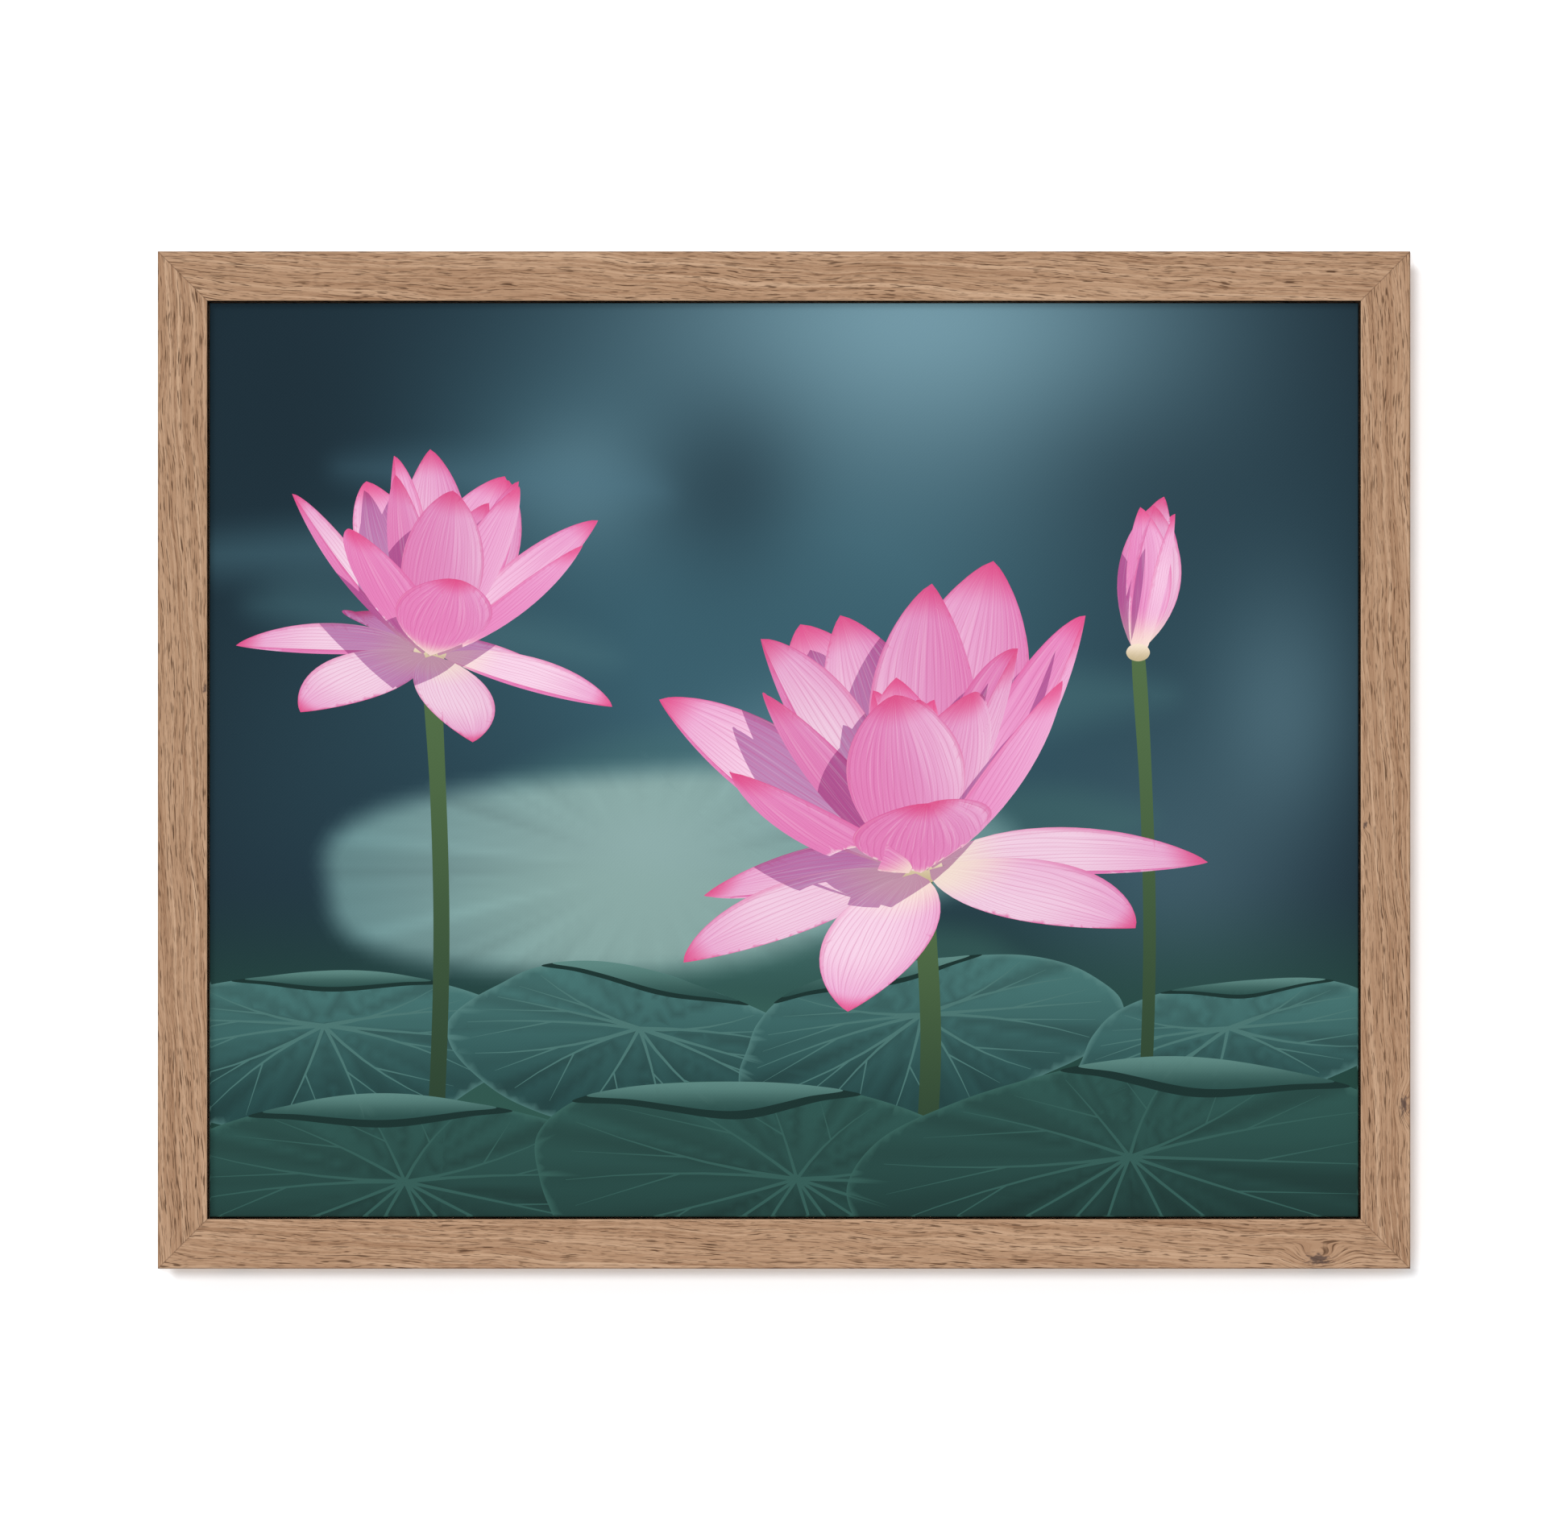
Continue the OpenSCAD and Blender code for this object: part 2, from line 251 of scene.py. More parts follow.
def oak(name, upright, seed, knots):
    """Oak with its grain along Z if upright, else along X. A knot is (along, across, radius) in mm."""
    finish = Finish(name, {"Specular IOR Level": 0.25})
    x, depth, z = finish.place()
    along, across = (z, x) if upright else (x, z)
    along_mm = along * 1000
    across_mm = across * 1000
    depth_mm = depth * 1000
    wander = finish.noise(finish.vector(along * 9, across * 25 + seed, depth * 25), detail=2.0)
    ripple = finish.noise(finish.vector(along * 34, across * 70 + seed, depth * 70), detail=1.0)
    ring = across_mm + depth_mm * 0.45 + along_mm * 0.05 + (wander - 0.5) * 11 + (ripple - 0.5) * 2.6
    core = 0.0
    for knot_along, knot_across, radius in knots:
        right = (along_mm - knot_along) / (2.2 * radius)
        up = (across_mm - knot_across) / radius
        away = (right * right + up * up).math("SQRT")
        broken = finish.noise(finish.vector(along * 420, across * 900, depth * 900), detail=2.0)
        core = (1 - (away + (broken - 0.5) * 2.6).between(0.35, 1.2)) + core
        ring = ring + (1 - away.between(0.0, 3.5)) * (2.2 * radius)
    broad = finish.vector(along * 4, ring * 0.42 + seed, depth_mm * 0.1)
    bands = finish.noise(broad, detail=3.0, roughness=0.6)
    streaks = finish.noise(finish.vector(along * 22, ring * 1.7 + seed, depth_mm * 0.6), detail=2.0)
    tone = bands * 0.62 + streaks * 0.38
    colour = finish.ramp(tone, [(0.34, OAK_DARK), (0.5, OAK_MID), (0.64, OAK_PALE)])
    dashes = finish.noise(finish.vector(along * 112, ring * 1.9 + seed, depth_mm * 1.9), detail=1.0)
    short = finish.noise(finish.vector(along * 230, ring * 2.6 + seed, depth_mm * 2.6), detail=1.0)
    crowd = finish.noise(finish.vector(along * 26, ring * 0.3 + seed * 2, depth_mm * 0.3), detail=1.0)
    pores = dashes.between(0.575, 0.655) * (crowd.between(0.3, 0.6) * 0.6 + 0.4)
    pores = pores + (1 - pores) * short.between(0.6, 0.7) * 0.45
    fibre = finish.noise(finish.vector(along * 60, ring * 6.0, depth_mm * 6.0), detail=1.0)
    colour = finish.mix(pores * 0.9, colour, OAK_PORE)
    colour = finish.mix(fibre.between(0.35, 0.75) * 0.16, colour, OAK_PALE)
    flecks = finish.noise(finish.vector(along * 110 + 7, ring * 1.2 + 40, depth_mm * 1.2), detail=0.0)
    colour = finish.mix(flecks.between(0.66, 0.76) * 0.35, colour, OAK_PALE)
    if knots:
        colour = finish.mix(core * 0.8, colour, OAK_KNOT)
    from_side = OUTER_X - (x * 1000).math("ABSOLUTE")
    from_top = OUTER_Z - (z * 1000).math("ABSOLUTE")
    inward = from_side if upright else from_top
    front = 1 - (depth_mm - OAK_FRONT).between(0.3, 1.0)
    # The pale inner arris of the front face is a painted highlight, as if light caught that edge.
    painted_inner_highlight = (1 - (FACE_WIDE - inward).between(0.1, 0.9)) * front
    # The darker outer arris of the front face is painted shade, a dark line along that edge.
    painted_outer_shade = (1 - inward.between(0.1, 0.8)) * front
    mitre = 1 - (from_side - from_top).math("ABSOLUTE").between(0.1, 0.45)
    # The painted highlight and the painted shade on the arrises go in here; the mitre line is the joint's
    # own dark colour.
    colour = finish.mix(painted_inner_highlight * 0.5, colour, OAK_PALE)
    colour = finish.mix(painted_outer_shade * 0.3, colour, OAK_PORE)
    colour = finish.mix(mitre * 0.4, colour, OAK_PORE)
    finish.drive("Base Color", colour)
    finish.drive("Roughness", 0.52 + pores * 0.3 + fibre * 0.12)
    finish.bump(fibre * 0.25 - pores, 0.12 * MM, 0.6)
    return finish


cover("oak_rail_top", oak("oak_top", False, 3.0, []))
cover("oak_rail_bottom", oak("oak_bottom", False, 17.0, [(232, -217, 2.6)]))
cover("oak_stile_left", oak("oak_left", True, 29.0, [(31, -251.5, 0.9)]))
cover("oak_stile_right", oak("oak_right", True, 43.0, [(-150, 269.5, 2.0), (-28, 252.5, 0.8)]))
print("oak finished")

# %% [markdown]
# ## Pine and beech
# The stretcher's bars are planed pine: pale wood with thin orange summer rings, spaced a few millimetres.
# A ring has one sharp side and one soft side, which a sawtooth of the ring coordinate gives. The keys are
# beech, an even wood that shows only short brown flecks. Both are left bare, so they stay quite matt.

# %% Bare timber finishes


def pine(name, upright, seed):
    """Pine with its grain along Z if upright, else along X."""
    finish = Finish(name, {"Specular IOR Level": 0.25})
    x, depth, z = finish.place()
    along, across = (z, x) if upright else (x, z)
    wander = finish.noise(finish.vector(along * 4, across * 12 + seed, depth * 12), detail=1.0)
    ring = across * 1000 + depth * 700 + along * 9 + (wander - 0.5) * 16 + seed
    year = (ring / 3.6).math("FRACT")
    late = year.between(0.35, 0.93) * year.between(1.0, 0.95)
    fibre = finish.noise(finish.vector(along * 30, ring * 4.0, depth * 4000), detail=1.0)
    patch = finish.noise(finish.vector(along * 6, across * 20 + seed, depth * 20))
    colour = finish.mix(late * 0.75, linear(229, 199, 150), linear(196, 146, 88))
    colour = finish.mix(patch.between(0.35, 0.7) * 0.3, colour, linear(236, 213, 170))
    colour = finish.mix(fibre.between(0.4, 0.8) * 0.18, colour, linear(170, 128, 84))
    finish.drive("Base Color", colour)
    finish.drive("Roughness", 0.6 + fibre * 0.2)
    finish.bump(fibre * 0.5 + late * 0.5, 0.06 * MM, 0.5)
    return finish


def beech(name, seed):
    """Beech with its flecks along Z."""
    finish = Finish(name, {"Specular IOR Level": 0.25})
    x, depth, z = finish.place()
    flecks = finish.noise(finish.vector(x * 700 + seed, depth * 1600, z * 250), detail=1.0)
    patch = finish.noise(finish.vector(x * 60 + seed, depth * 60, z * 30))
    colour = finish.ramp(patch, [(0.35, linear(196, 150, 104)), (0.65, linear(214, 172, 128))])
    colour = finish.mix(flecks.between(0.58, 0.7) * 0.5, colour, linear(146, 98, 60))
    finish.drive("Base Color", colour)
    finish.drive("Roughness", 0.58 + flecks * 0.2)
    finish.bump(flecks, 0.05 * MM, 0.5)
    return finish


# side, whether its grain is upright, and its seed
BARS = [("top", False, 2.0), ("bottom", False, 11.0), ("left", True, 23.0), ("right", True, 31.0)]
for side, upright, seed in BARS:
    cover("stretcher_bar_" + side, pine("pine_" + side, upright, seed))
beech_keys = beech("beech_keys", 5.0)
for key in sorted(n for n in frame["nodes"] if n.startswith("key_")):
    cover(key, beech_keys)
print("pine and beech finished")

# %% [markdown]
# ## Metal and rubber
# Zinc plate is never quite even: it has a faint cloud of duller crystals and fine scratches from the
# tumbling drum. Yellow passivation adds a thin gold stain. All the metals share one shader: a cloud of noise
# sets the colour, and the cloud and a scratch noise together set the roughness and the relief. The bumpers
# are moulded rubber, dark grey with a dusty bloom.

# %% Metal and rubber finishes


def plated(name, bright, dull, rough, metallic=1.0):
    """Metal whose colour wanders from bright to dull, around a roughness of rough."""
    finish = Finish(name, {"Metallic": metallic})
    x, y, z = finish.place()
    where = finish.vector(x, y, z)
    cloud = finish.noise(where, 420.0, 2.0)
    scratch = finish.noise(finish.vector(x * 900, y * 900, z * 5200), 1.0, 1.0)
    finish.drive("Base Color", finish.mix(cloud.between(0.3, 0.7), bright, dull))
    finish.drive("Roughness", rough + cloud * 0.14 + scratch * 0.08)
    finish.bump(scratch * 0.4 + cloud * 0.6, 0.02 * MM, 0.5)
    return finish


def rubber(name):
    """Rubber with a fine grain and a cloud of dust."""
    finish = Finish(name, {"Specular IOR Level": 0.35})
    x, y, z = finish.place()
    grain = finish.noise(finish.vector(x, y, z), 3800.0, 1.0)
    dust = finish.noise(finish.vector(x, y, z), 160.0, 2.0)
    black, bloom = linear(44, 43, 42), linear(86, 84, 80)
    finish.drive("Base Color", finish.mix(dust.between(0.4, 0.8) * 0.4, black, bloom))
    finish.drive("Roughness", 0.62 + dust * 0.2)
    finish.bump(grain, 0.04 * MM, 0.5)
    return finish


spring_steel = plated("spring_steel", linear(150, 152, 156), linear(104, 106, 112), 0.3)
bright_zinc = plated("bright_zinc", linear(206, 208, 212), linear(168, 172, 178), 0.22)
yellow_zinc = plated("yellow_zinc", linear(222, 196, 128), linear(188, 160, 112), 0.24)
nickel = plated("nickel", linear(214, 208, 198), linear(190, 184, 174), 0.12)
staple_wire = plated("staple_wire", linear(196, 198, 202), linear(160, 162, 166), 0.26)
dusty_rubber = rubber("dusty_rubber")
METAL_OF = {
    "mitre_v_nails": spring_steel,
    "fixing_washers": bright_zinc,
    "hanger_strap_left": bright_zinc,
    "hanger_strap_right": bright_zinc,
    "fixing_screws": yellow_zinc,
    "hanger_screws": yellow_zinc,
    "d_ring_left": nickel,
    "d_ring_right": nickel,
    "canvas_staples": staple_wire,
}
for node_name, finish in METAL_OF.items():
    cover(node_name, finish)
for node_name in sorted(n for n in frame["nodes"] if n.startswith("bumper_")):
    cover(node_name, dusty_rubber)
print("metal and rubber finished")

# %% [markdown]
# ## The picture, drawn as geometry
# The print is a plain pond scene: two open lotus flowers and a bud over two rows of leaves, with all beyond
# them blurred. Every shape in it comes from a formula or a seeded draw, and a layout rule says where it
# stands. Each flower is first built in space from one petal formula and then looked at from the front, as a
# camera would. Every outline becomes an edge of one triangle mesh over the face of the canvas, so edges stay
# sharp, and each triangle takes its colour from the shape that lies on top there. The picture's own plane is
# in millimetres from its centre: x to the right and z up.

# %% The picture's plane
canvas_low, canvas_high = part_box("canvas_print")
HALF = np.array([canvas_high.x - canvas_low.x, canvas_high.z - canvas_low.z]) / 2 / MM
FRONT_Y = canvas_low.y / MM
REAR_Y = canvas_high.y / MM
THICK = 0.5  # of the cloth
BEND = 0.7  # radius of the cloth round an edge
FLAT = HALF - BEND
SUN = np.array([0.62, -0.28, 0.73])  # toward the picture's own sun
SHADOW_STEP = np.array([-13.0, -15.0])
print("picture:", (2 * HALF).round(1), "mm")


def screen(red, green, blue):
    """A screen colour of 0 to 255 a channel as an array, to be blended before it becomes light."""
    return np.array([red, green, blue], float)


def smooth(low, high, x):
    """0 at low, 1 at high, and the cubic 3t^2 - 2t^3 in between."""
    t = np.clip((x - low) / (high - low), 0, 1)
    return t * t * (3 - 2 * t)


def blend(first, second, share):
    """first * (1 - share) + second * share, row by row."""
    share = np.asarray(share, float)[..., None]
    return first * (1 - share) + second * share


# %% [markdown]
# ## The layout
# Painters often place things by the golden section, which cuts a length so that the larger part is to the
# whole as the smaller part is to the larger. Measured from the middle of the picture to its edge, its lines
# lie at 0.236 and 0.618 of the way. The open flower's heart is where the inner lines to the right and below
# cross. The small flower stands higher, on the outer line to the left, and a closed bud faces it from the
# same place on the right. Leaves lie below them in two even rows, and the nearer row is larger and darker.

# %% Golden lines
INNER = np.sqrt(5) - 2
OUTER = (np.sqrt(5) - 1) / 2
BIG_HEART = FLAT * (INNER, -INNER)
SMALL_HEART = FLAT * (-OUTER, INNER)
BUD_HEART = FLAT * (OUTER, INNER)
print("hearts at", BIG_HEART.round(1), SMALL_HEART.round(1), BUD_HEART.round(1), "mm")

# %% [markdown]
# ## One petal in space
# A lotus petal is a boat: its keel runs out from the heart and curls, and its sides stand up from the keel.
# The keel's angle from the flower's axis changes evenly from heart to tip, so the keel is the running sum of
# small steps in that direction. Across the keel the petal is an arc of a circle. Two numbers name a point on
# it: v from heart to tip, and u from one edge, -1, to the other, 1.

# %% The petal surface
ACROSS = np.linspace(-1, 1, 49)
ALONG = np.linspace(0, 1, 57)
WIDE_FULL = 0.8
WIDE_SHARP = 0.78
HEART_OUT = 0.05


def petal_surface(way, length, width, lean, curl, cup):
    """A petal about a vertical axis, which starts a share of its length out from it. Angles are in radians.

    Keel angle from the axis: lean + curl*v. Half width: v^full * (1-v)^sharp, scaled to width at its widest.
    Across it the petal is an arc that has turned by cup at each edge, toward the axis.
    """
    u, v = ACROSS[:, None], ALONG
    angle = lean + curl * v
    step = length / (len(v) - 1)
    run = np.concatenate([[0], np.cumsum(np.sin(angle)[1:] + np.sin(angle)[:-1])])
    rise = np.concatenate([[0], np.cumsum(np.cos(angle)[1:] + np.cos(angle)[:-1])])
    out = HEART_OUT * length + run * step / 2
    up = rise * step / 2
    widest = WIDE_FULL / (WIDE_FULL + WIDE_SHARP)
    top = widest ** WIDE_FULL * (1 - widest) ** WIDE_SHARP
    half = width * v ** WIDE_FULL * (1 - v) ** WIDE_SHARP / top
    aside = half * np.sin(cup * u) / cup
    lift = half * (1 - np.cos(cup * u)) / cup
    radius = out - lift * np.cos(angle)
    height = up + lift * np.sin(angle)
    return np.stack([radius * np.cos(way) - aside * np.sin(way), radius * np.sin(way) + aside * np.cos(way),
                     np.broadcast_to(height, radius.shape)], -1)


def turned(points, nod, roll):
    """Tips the axis toward the viewer by nod and then turns it in the picture by roll, in radians."""
    x, y, z = np.moveaxis(points, -1, 0)
    z, y = z * np.cos(nod) + y * np.sin(nod), y * np.cos(nod) - z * np.sin(nod)
    return np.stack([x * np.cos(roll) - z * np.sin(roll), y, x * np.sin(roll) + z * np.cos(roll)], -1)


def between_rows(grid, row, column):
    """A grid read at fractional rows and columns: the weighted mean of the four values around each place."""
    row = np.clip(row, 0, grid.shape[0] - 1.001)
    column = np.clip(column, 0, grid.shape[1] - 1.001)
    i, j = row.astype(int), column.astype(int)
    a, b = (row - i)[:, None], (column - j)[:, None]
    low = grid[i, j] * (1 - b) + grid[i, j + 1] * b
    high = grid[i + 1, j] * (1 - b) + grid[i + 1, j + 1] * b
    return low * (1 - a) + high * a


# %% [markdown]
# ## What the eye sees of a petal
# Seen from the front, a cupped petal may fold over itself: the near side hides part of the inside. At each
# v the section reaches furthest left at one u and furthest right at another. Between those two it is one
# layer, and what lies beyond either of them is another layer, seen from its other face. Each layer becomes a
# closed outline with its own depth, and all layers are stacked from the far ones to the near ones.

# %% Layers
PETAL_PALE = screen(253, 222, 240)
PETAL_PINK = screen(240, 166, 212)
PETAL_DEEP = screen(224, 124, 184)
PETAL_RIM = screen(222, 84, 150)
PETAL_TIP = screen(226, 52, 116)
PETAL_GLOW = screen(244, 138, 196)
PETAL_HEART = screen(253, 238, 214)
PETAL_SHADE = screen(196, 160, 198) / 255
MIDDLE = slice(14, 40)  # the columns of a petal whose mean depth places it in the stack


class Layer:
    """Part of a petal that the eye sees once: u runs from low[j] to high[j] at column j of the surface."""

    casts = True
    parent = None

    def __init__(self, surface, centre, low, high, tone):
        self.tone = tone
        self.low, self.high = low, high
        s = np.linspace(0, 1, 25)[:, None]
        self.u = low + (high - low) * s
        row = (self.u + 1) / 2 * (len(ACROSS) - 1)
        column = np.broadcast_to(np.arange(len(ALONG)), row.shape)
        self.space = between_rows(surface, row.ravel(), column.ravel()).reshape(*row.shape, 3)
        self.flat = self.space[..., [0, 2]] + np.array(centre, float)
        slope_u = np.gradient(self.space, axis=0) + 1e-9
        slope_v = np.gradient(self.space, axis=1)
        normal = np.cross(slope_u, slope_v)
        normal /= np.linalg.norm(normal, axis=-1)[..., None] + 1e-12
        self.normal = np.where(normal[..., 1:2] > 0, -normal, normal)
        self.depth = self.space[:, MIDDLE, 1].mean()

    def outline(self):
        """Out along the low side and back along the high one, closer together near the tip."""
        pick = np.unique(np.round((len(ALONG) - 1) * np.sin(np.linspace(0, np.pi / 2, 24))).astype(int))
        return np.concatenate([self.flat[0, pick], self.flat[-1, pick[::-1]][1:-1]])

    def area(self):
        a, b = self.outline(), np.roll(self.outline(), -1, axis=0)
        return abs((a[:, 0] * b[:, 1] - b[:, 0] * a[:, 1]).sum()) / 2

    def locate(self, points):
        """Row and column of points on the layer: the nearest grid place, corrected once along the slopes."""
        rows, columns = self.flat.shape[:2]
        nodes = self.flat.reshape(-1, 2)
        slopes = [np.gradient(self.flat, axis=axis) for axis in (0, 1)]
        slope = np.stack(slopes, -1).reshape(-1, 2, 2)
        near = np.concatenate([((part[:, None] - nodes) ** 2).sum(2).argmin(1)
                               for part in np.array_split(points, len(points) // 1500 + 1)])
        jacobian = slope[near]
        turned_over = np.swapaxes(jacobian, 1, 2)
        gap = turned_over @ (points - nodes[near])[..., None]
        shift = np.linalg.solve(turned_over @ jacobian + 1e-3 * np.eye(2), gap)[..., 0]
        shift = np.clip(shift, -1, 1)
        row = np.clip(near // columns + shift[:, 0], 0, rows - 1)
        return row, np.clip(near % columns + shift[:, 1], 0, columns - 1)

    def paint(self, points, shaded):
        """Screen colours and (u, v, on): light on the sun's side, glow through the petal, a cream heart."""
        row, column = self.locate(points)
        normal = between_rows(self.normal, row, column)
        u = between_rows(self.u[..., None], row, column)[:, 0]
        v = column / (len(ALONG) - 1)
        facing = normal @ (SUN / np.linalg.norm(SUN))
        direct = smooth(-0.15, 0.85, facing)
        through = smooth(0.1, -0.7, facing)
        colour = blend(PETAL_DEEP, PETAL_PINK, smooth(-0.9, 0.35, facing))
        colour = blend(colour, PETAL_PALE, 0.86 * direct * smooth(1.02, 0.5, v))
        colour = blend(colour, PETAL_GLOW, 0.5 * through)
        colour = blend(colour, PETAL_RIM, 0.55 * smooth(0.9, 1.0, np.abs(u)) * smooth(0.1, 0.6, v))
        colour = blend(colour, PETAL_TIP, 0.7 * smooth(0.84, 1.0, v))
        colour = blend(colour, PETAL_HEART, 0.8 * smooth(0.34, 0.06, v))
        colour = np.where(shaded[:, None], colour * PETAL_SHADE, colour)
        return colour * self.tone, np.stack([u, v, np.ones_like(u)], 1)


LEAST_AREA = 60.0
HEART_END = 0.25
HEART_COLUMN = int(HEART_END * len(ALONG))
CALM = 13


def petal_layers(surface, centre, tone):
    """The layers of a petal turned toward the viewer, from its reach to the left and to the right.

    Near the heart, where the reach jumps about, it is held at its value at HEART_END, and along the petal it
    is the running mean of CALM columns. A layer under LEAST_AREA square mm joins the one beside it.
    """
    flat = surface[..., [0, 2]]
    middle = flat[len(ACROSS) // 2]
    along = np.gradient(middle, axis=0)
    along /= np.linalg.norm(along, axis=1)[:, None]
    sideways = np.stack([-along[:, 1], along[:, 0]], 1)
    reach = ((flat - middle) * sideways).sum(2)
    reach[:, [0, -1]] = reach[:, [1, -2]]
    first, last = np.sort([ACROSS[reach.argmin(0)], ACROSS[reach.argmax(0)]], axis=0)
    first, last = (np.where(ALONG < HEART_END, edge[HEART_COLUMN], edge) for edge in (first, last))
    calm = np.ones(CALM) / CALM
    first, last = (np.convolve(np.pad(edge, CALM // 2, "edge"), calm, "valid") for edge in (first, last))
    edge = np.ones_like(first)
    if Layer(surface, centre, -edge, first, tone).area() < LEAST_AREA:
        first = -edge
    if Layer(surface, centre, last, edge, tone).area() < LEAST_AREA:
        last = edge
    ends = [-edge, first, last, edge]
    layers = [Layer(surface, centre, low, high, tone) for low, high in zip(ends[:-1], ends[1:])]
    return [layer for layer in layers if layer.area() > 1]


# %% [markdown]
# ## A flower
# Lotus petals stand in rings. The inner ones are short, upright and cupped; the outer ones are long and lie
# open, and the oldest droop below the heart. A ring is a row of numbers: how many petals, how long and wide,
# how far they lean, curl and cup. Within a ring the petals are set evenly about the axis, and each one is
# varied a little with a seeded generator, so the flower looks grown and comes out the same every time.

# %% Flowers

# petals, first way round (degrees), length and half width in mm, lean, curl and cup in degrees
OPEN_RINGS = [
    (5, 20, 84, 27, 26, -34, 66),
    (7, 58, 118, 33, 38, -30, 58),
    (7, 12, 130, 35, 62, -34, 46),
    (6, 200, 118, 27, 106, -14, 36),
]
HALF_OPEN_RINGS = [
    (5, 40, 68, 18, 20, -26, 62),
    (7, 12, 88, 21, 34, -26, 54),
    (7, 70, 92, 22, 62, -28, 44),
    (6, 228, 78, 20, 104, -14, 36),
]
BUD_RINGS = [
    (4, 45, 66, 17, 9, -22, 66),
    (3, 250, 62, 19, 13, -26, 66),
]
SMALL_SEED = 8
BIG_SEED = 11
BUD_SEED = 4
HEART_DEPTH = -12.0  # petals nearer than this hide the knob
HEART_SHARE = np.array([0.078, 0.058])


def heart_knob(centre, longest):
    """The pale knob that petals grow from: an ellipse in eight points, a share of the longest petal."""
    way = np.arange(8)[:, None] * np.pi / 4
    loop = centre + HEART_SHARE * longest * np.concatenate([np.cos(way), np.sin(way)], 1)
    return Leaf(loop, (196, 178, 140), (246, 228, 206))


def flower(rings, centre, nod, roll, seed):
    """Every layer of every petal, with the heart at centre and the axis tipped by nod and roll degrees."""
    rng = np.random.default_rng(seed)
    layers = []
    for count, start, length, width, lean, curl, cup in rings:
        for k in range(count):
            way = start + 360 / count * k + rng.uniform(-9, 9)
            angles = np.radians([way, lean + rng.uniform(-6, 6), curl + rng.uniform(-8, 8), cup])
            size = length * rng.uniform(0.93, 1.07), width * rng.uniform(0.92, 1.08)
            surface = petal_surface(angles[0], *size, *angles[1:])
            shape = turned(surface, np.radians(nod), np.radians(roll))
            layers += petal_layers(shape, centre, rng.uniform(0.95, 1.0))
    layers = sorted(layers, key=lambda layer: -layer.depth)
    nearer = sum(layer.depth < HEART_DEPTH for layer in layers)
    split = len(layers) - nearer
    longest = max(length for _, _, length, *_ in rings)
    return [*layers[:split], heart_knob(centre, longest), *layers[split:]]


# %% [markdown]
# ## Leaves and stems
# A leaf or a stem is a closed curve through a few points, made smooth as a Catmull-Rom curve: between two
# points it is the cubic whose slope at each one is half the step between its neighbours. A leaf's points
# come from one formula, an ellipse with waves, because a lotus leaf is round and is seen aslant.

# %% Leaves


def smooth_loop(points, steps):
    """A closed Catmull-Rom curve through points, with that many steps between two of them."""
    b = np.array(points, float)[:, None]
    a, c, d = np.roll(b, 1, 0), np.roll(b, -1, 0), np.roll(b, -2, 0)
    t = (np.arange(steps) / steps)[None, :, None]
    curve = 2 * b + (c - a) * t + (2 * a - 5 * b + 4 * c - d) * t ** 2 + (3 * b - a - 3 * c + d) * t ** 3
    return curve.reshape(-1, 2) / 2


def edge_gap(points, loop):
    """Distance in mm from each point to the nearest place on a closed loop of straight pieces."""
    ab = np.roll(loop, -1, axis=0) - loop
    size = np.maximum((ab ** 2).sum(1), 1e-9)

    def gap(part):
        t = np.clip(((part[:, None] - loop) * ab).sum(2) / size, 0, 1)
        return np.sqrt(((part[:, None] - loop - t[..., None] * ab) ** 2).sum(2)).min(1)

    return np.concatenate([gap(part) for part in np.array_split(points, len(points) // 3000 + 1)])


def within(points, loop):
    """Whether each point is inside: a ray to its right then crosses the loop an odd number of times."""
    odd = np.zeros(len(points), bool)
    for (ax, az), (bx, bz) in zip(loop, np.roll(loop, -1, axis=0)):
        if az != bz:
            straddles = (az > points[:, 1]) != (bz > points[:, 1])
            odd ^= straddles & (points[:, 0] < (bx - ax) * (points[:, 1] - az) / (bz - az) + ax)
    return odd


def soft_inside(points, loop, blur):
    """1 well inside the loop and 0 well outside, over a border blur mm wide each way."""
    return smooth(-blur, blur, edge_gap(points, loop) * np.where(within(points, loop), 1, -1))


def fan_streaks(points, centre, count, seed):
    """Streaks of about -1 to 1 that fan out from centre: sines of the angle about it, at three rates."""
    way = points - np.array(centre, float)
    angle = np.arctan2(way[:, 1], way[:, 0])
    wave = np.sin(angle * count + seed) + 0.6 * np.sin(angle * count * 2.3 + seed * 2)
    return (wave + 0.4 * np.sin(angle * count * 4.1 + seed * 3)) / 2


class Leaf:
    """A closed shape through points in mm, from the colour low at its foot to high at its top."""

    casts = False
    parent = None

    def __init__(self, points, low, high, heart=None, veins=12, rim=None, rim_mm=3.0, steps=9):
        self.loop = smooth_loop(points, steps)
        self.low, self.high = screen(*low), screen(*high)
        self.heart, self.veins = heart, veins
        self.rim, self.rim_mm = rim, rim_mm

    def outline(self):
        return self.loop

    def paint(self, points, shaded):
        foot, head = self.loop[:, 1].min(), self.loop[:, 1].max()
        t = (points[:, 1] - foot) / (head - foot)
        colour = blend(self.low, self.high, smooth(0, 1, t))
        if self.heart:
            ray = np.abs(fan_streaks(points, self.heart, self.veins, 2.0))
            colour = colour * (1.05 - 0.16 * smooth(0.0, 0.9, ray))[:, None]
        if self.rim:
            near_rim = smooth(self.rim_mm, 0, edge_gap(points, self.loop))
            colour = blend(colour, screen(*self.rim), 0.7 * near_rim)
        return colour, np.zeros((len(points), 3))


# %% Round leaves and their turned-over rims


def round_rim(centre, radii, turn, seed, way):
    """An ellipse turned by turn degrees, whose radius waves by 5% three times round and by 3% five times."""
    wave = 1 + 0.05 * np.sin(3 * way + seed) + 0.03 * np.sin(5 * way + 2 * seed)
    x, z = radii[0] * wave * np.cos(way), radii[1] * wave * np.sin(way)
    c, s = np.cos(np.radians(turn)), np.sin(np.radians(turn))
    return np.stack([centre[0] + x * c - z * s, centre[1] + x * s + z * c], 1)


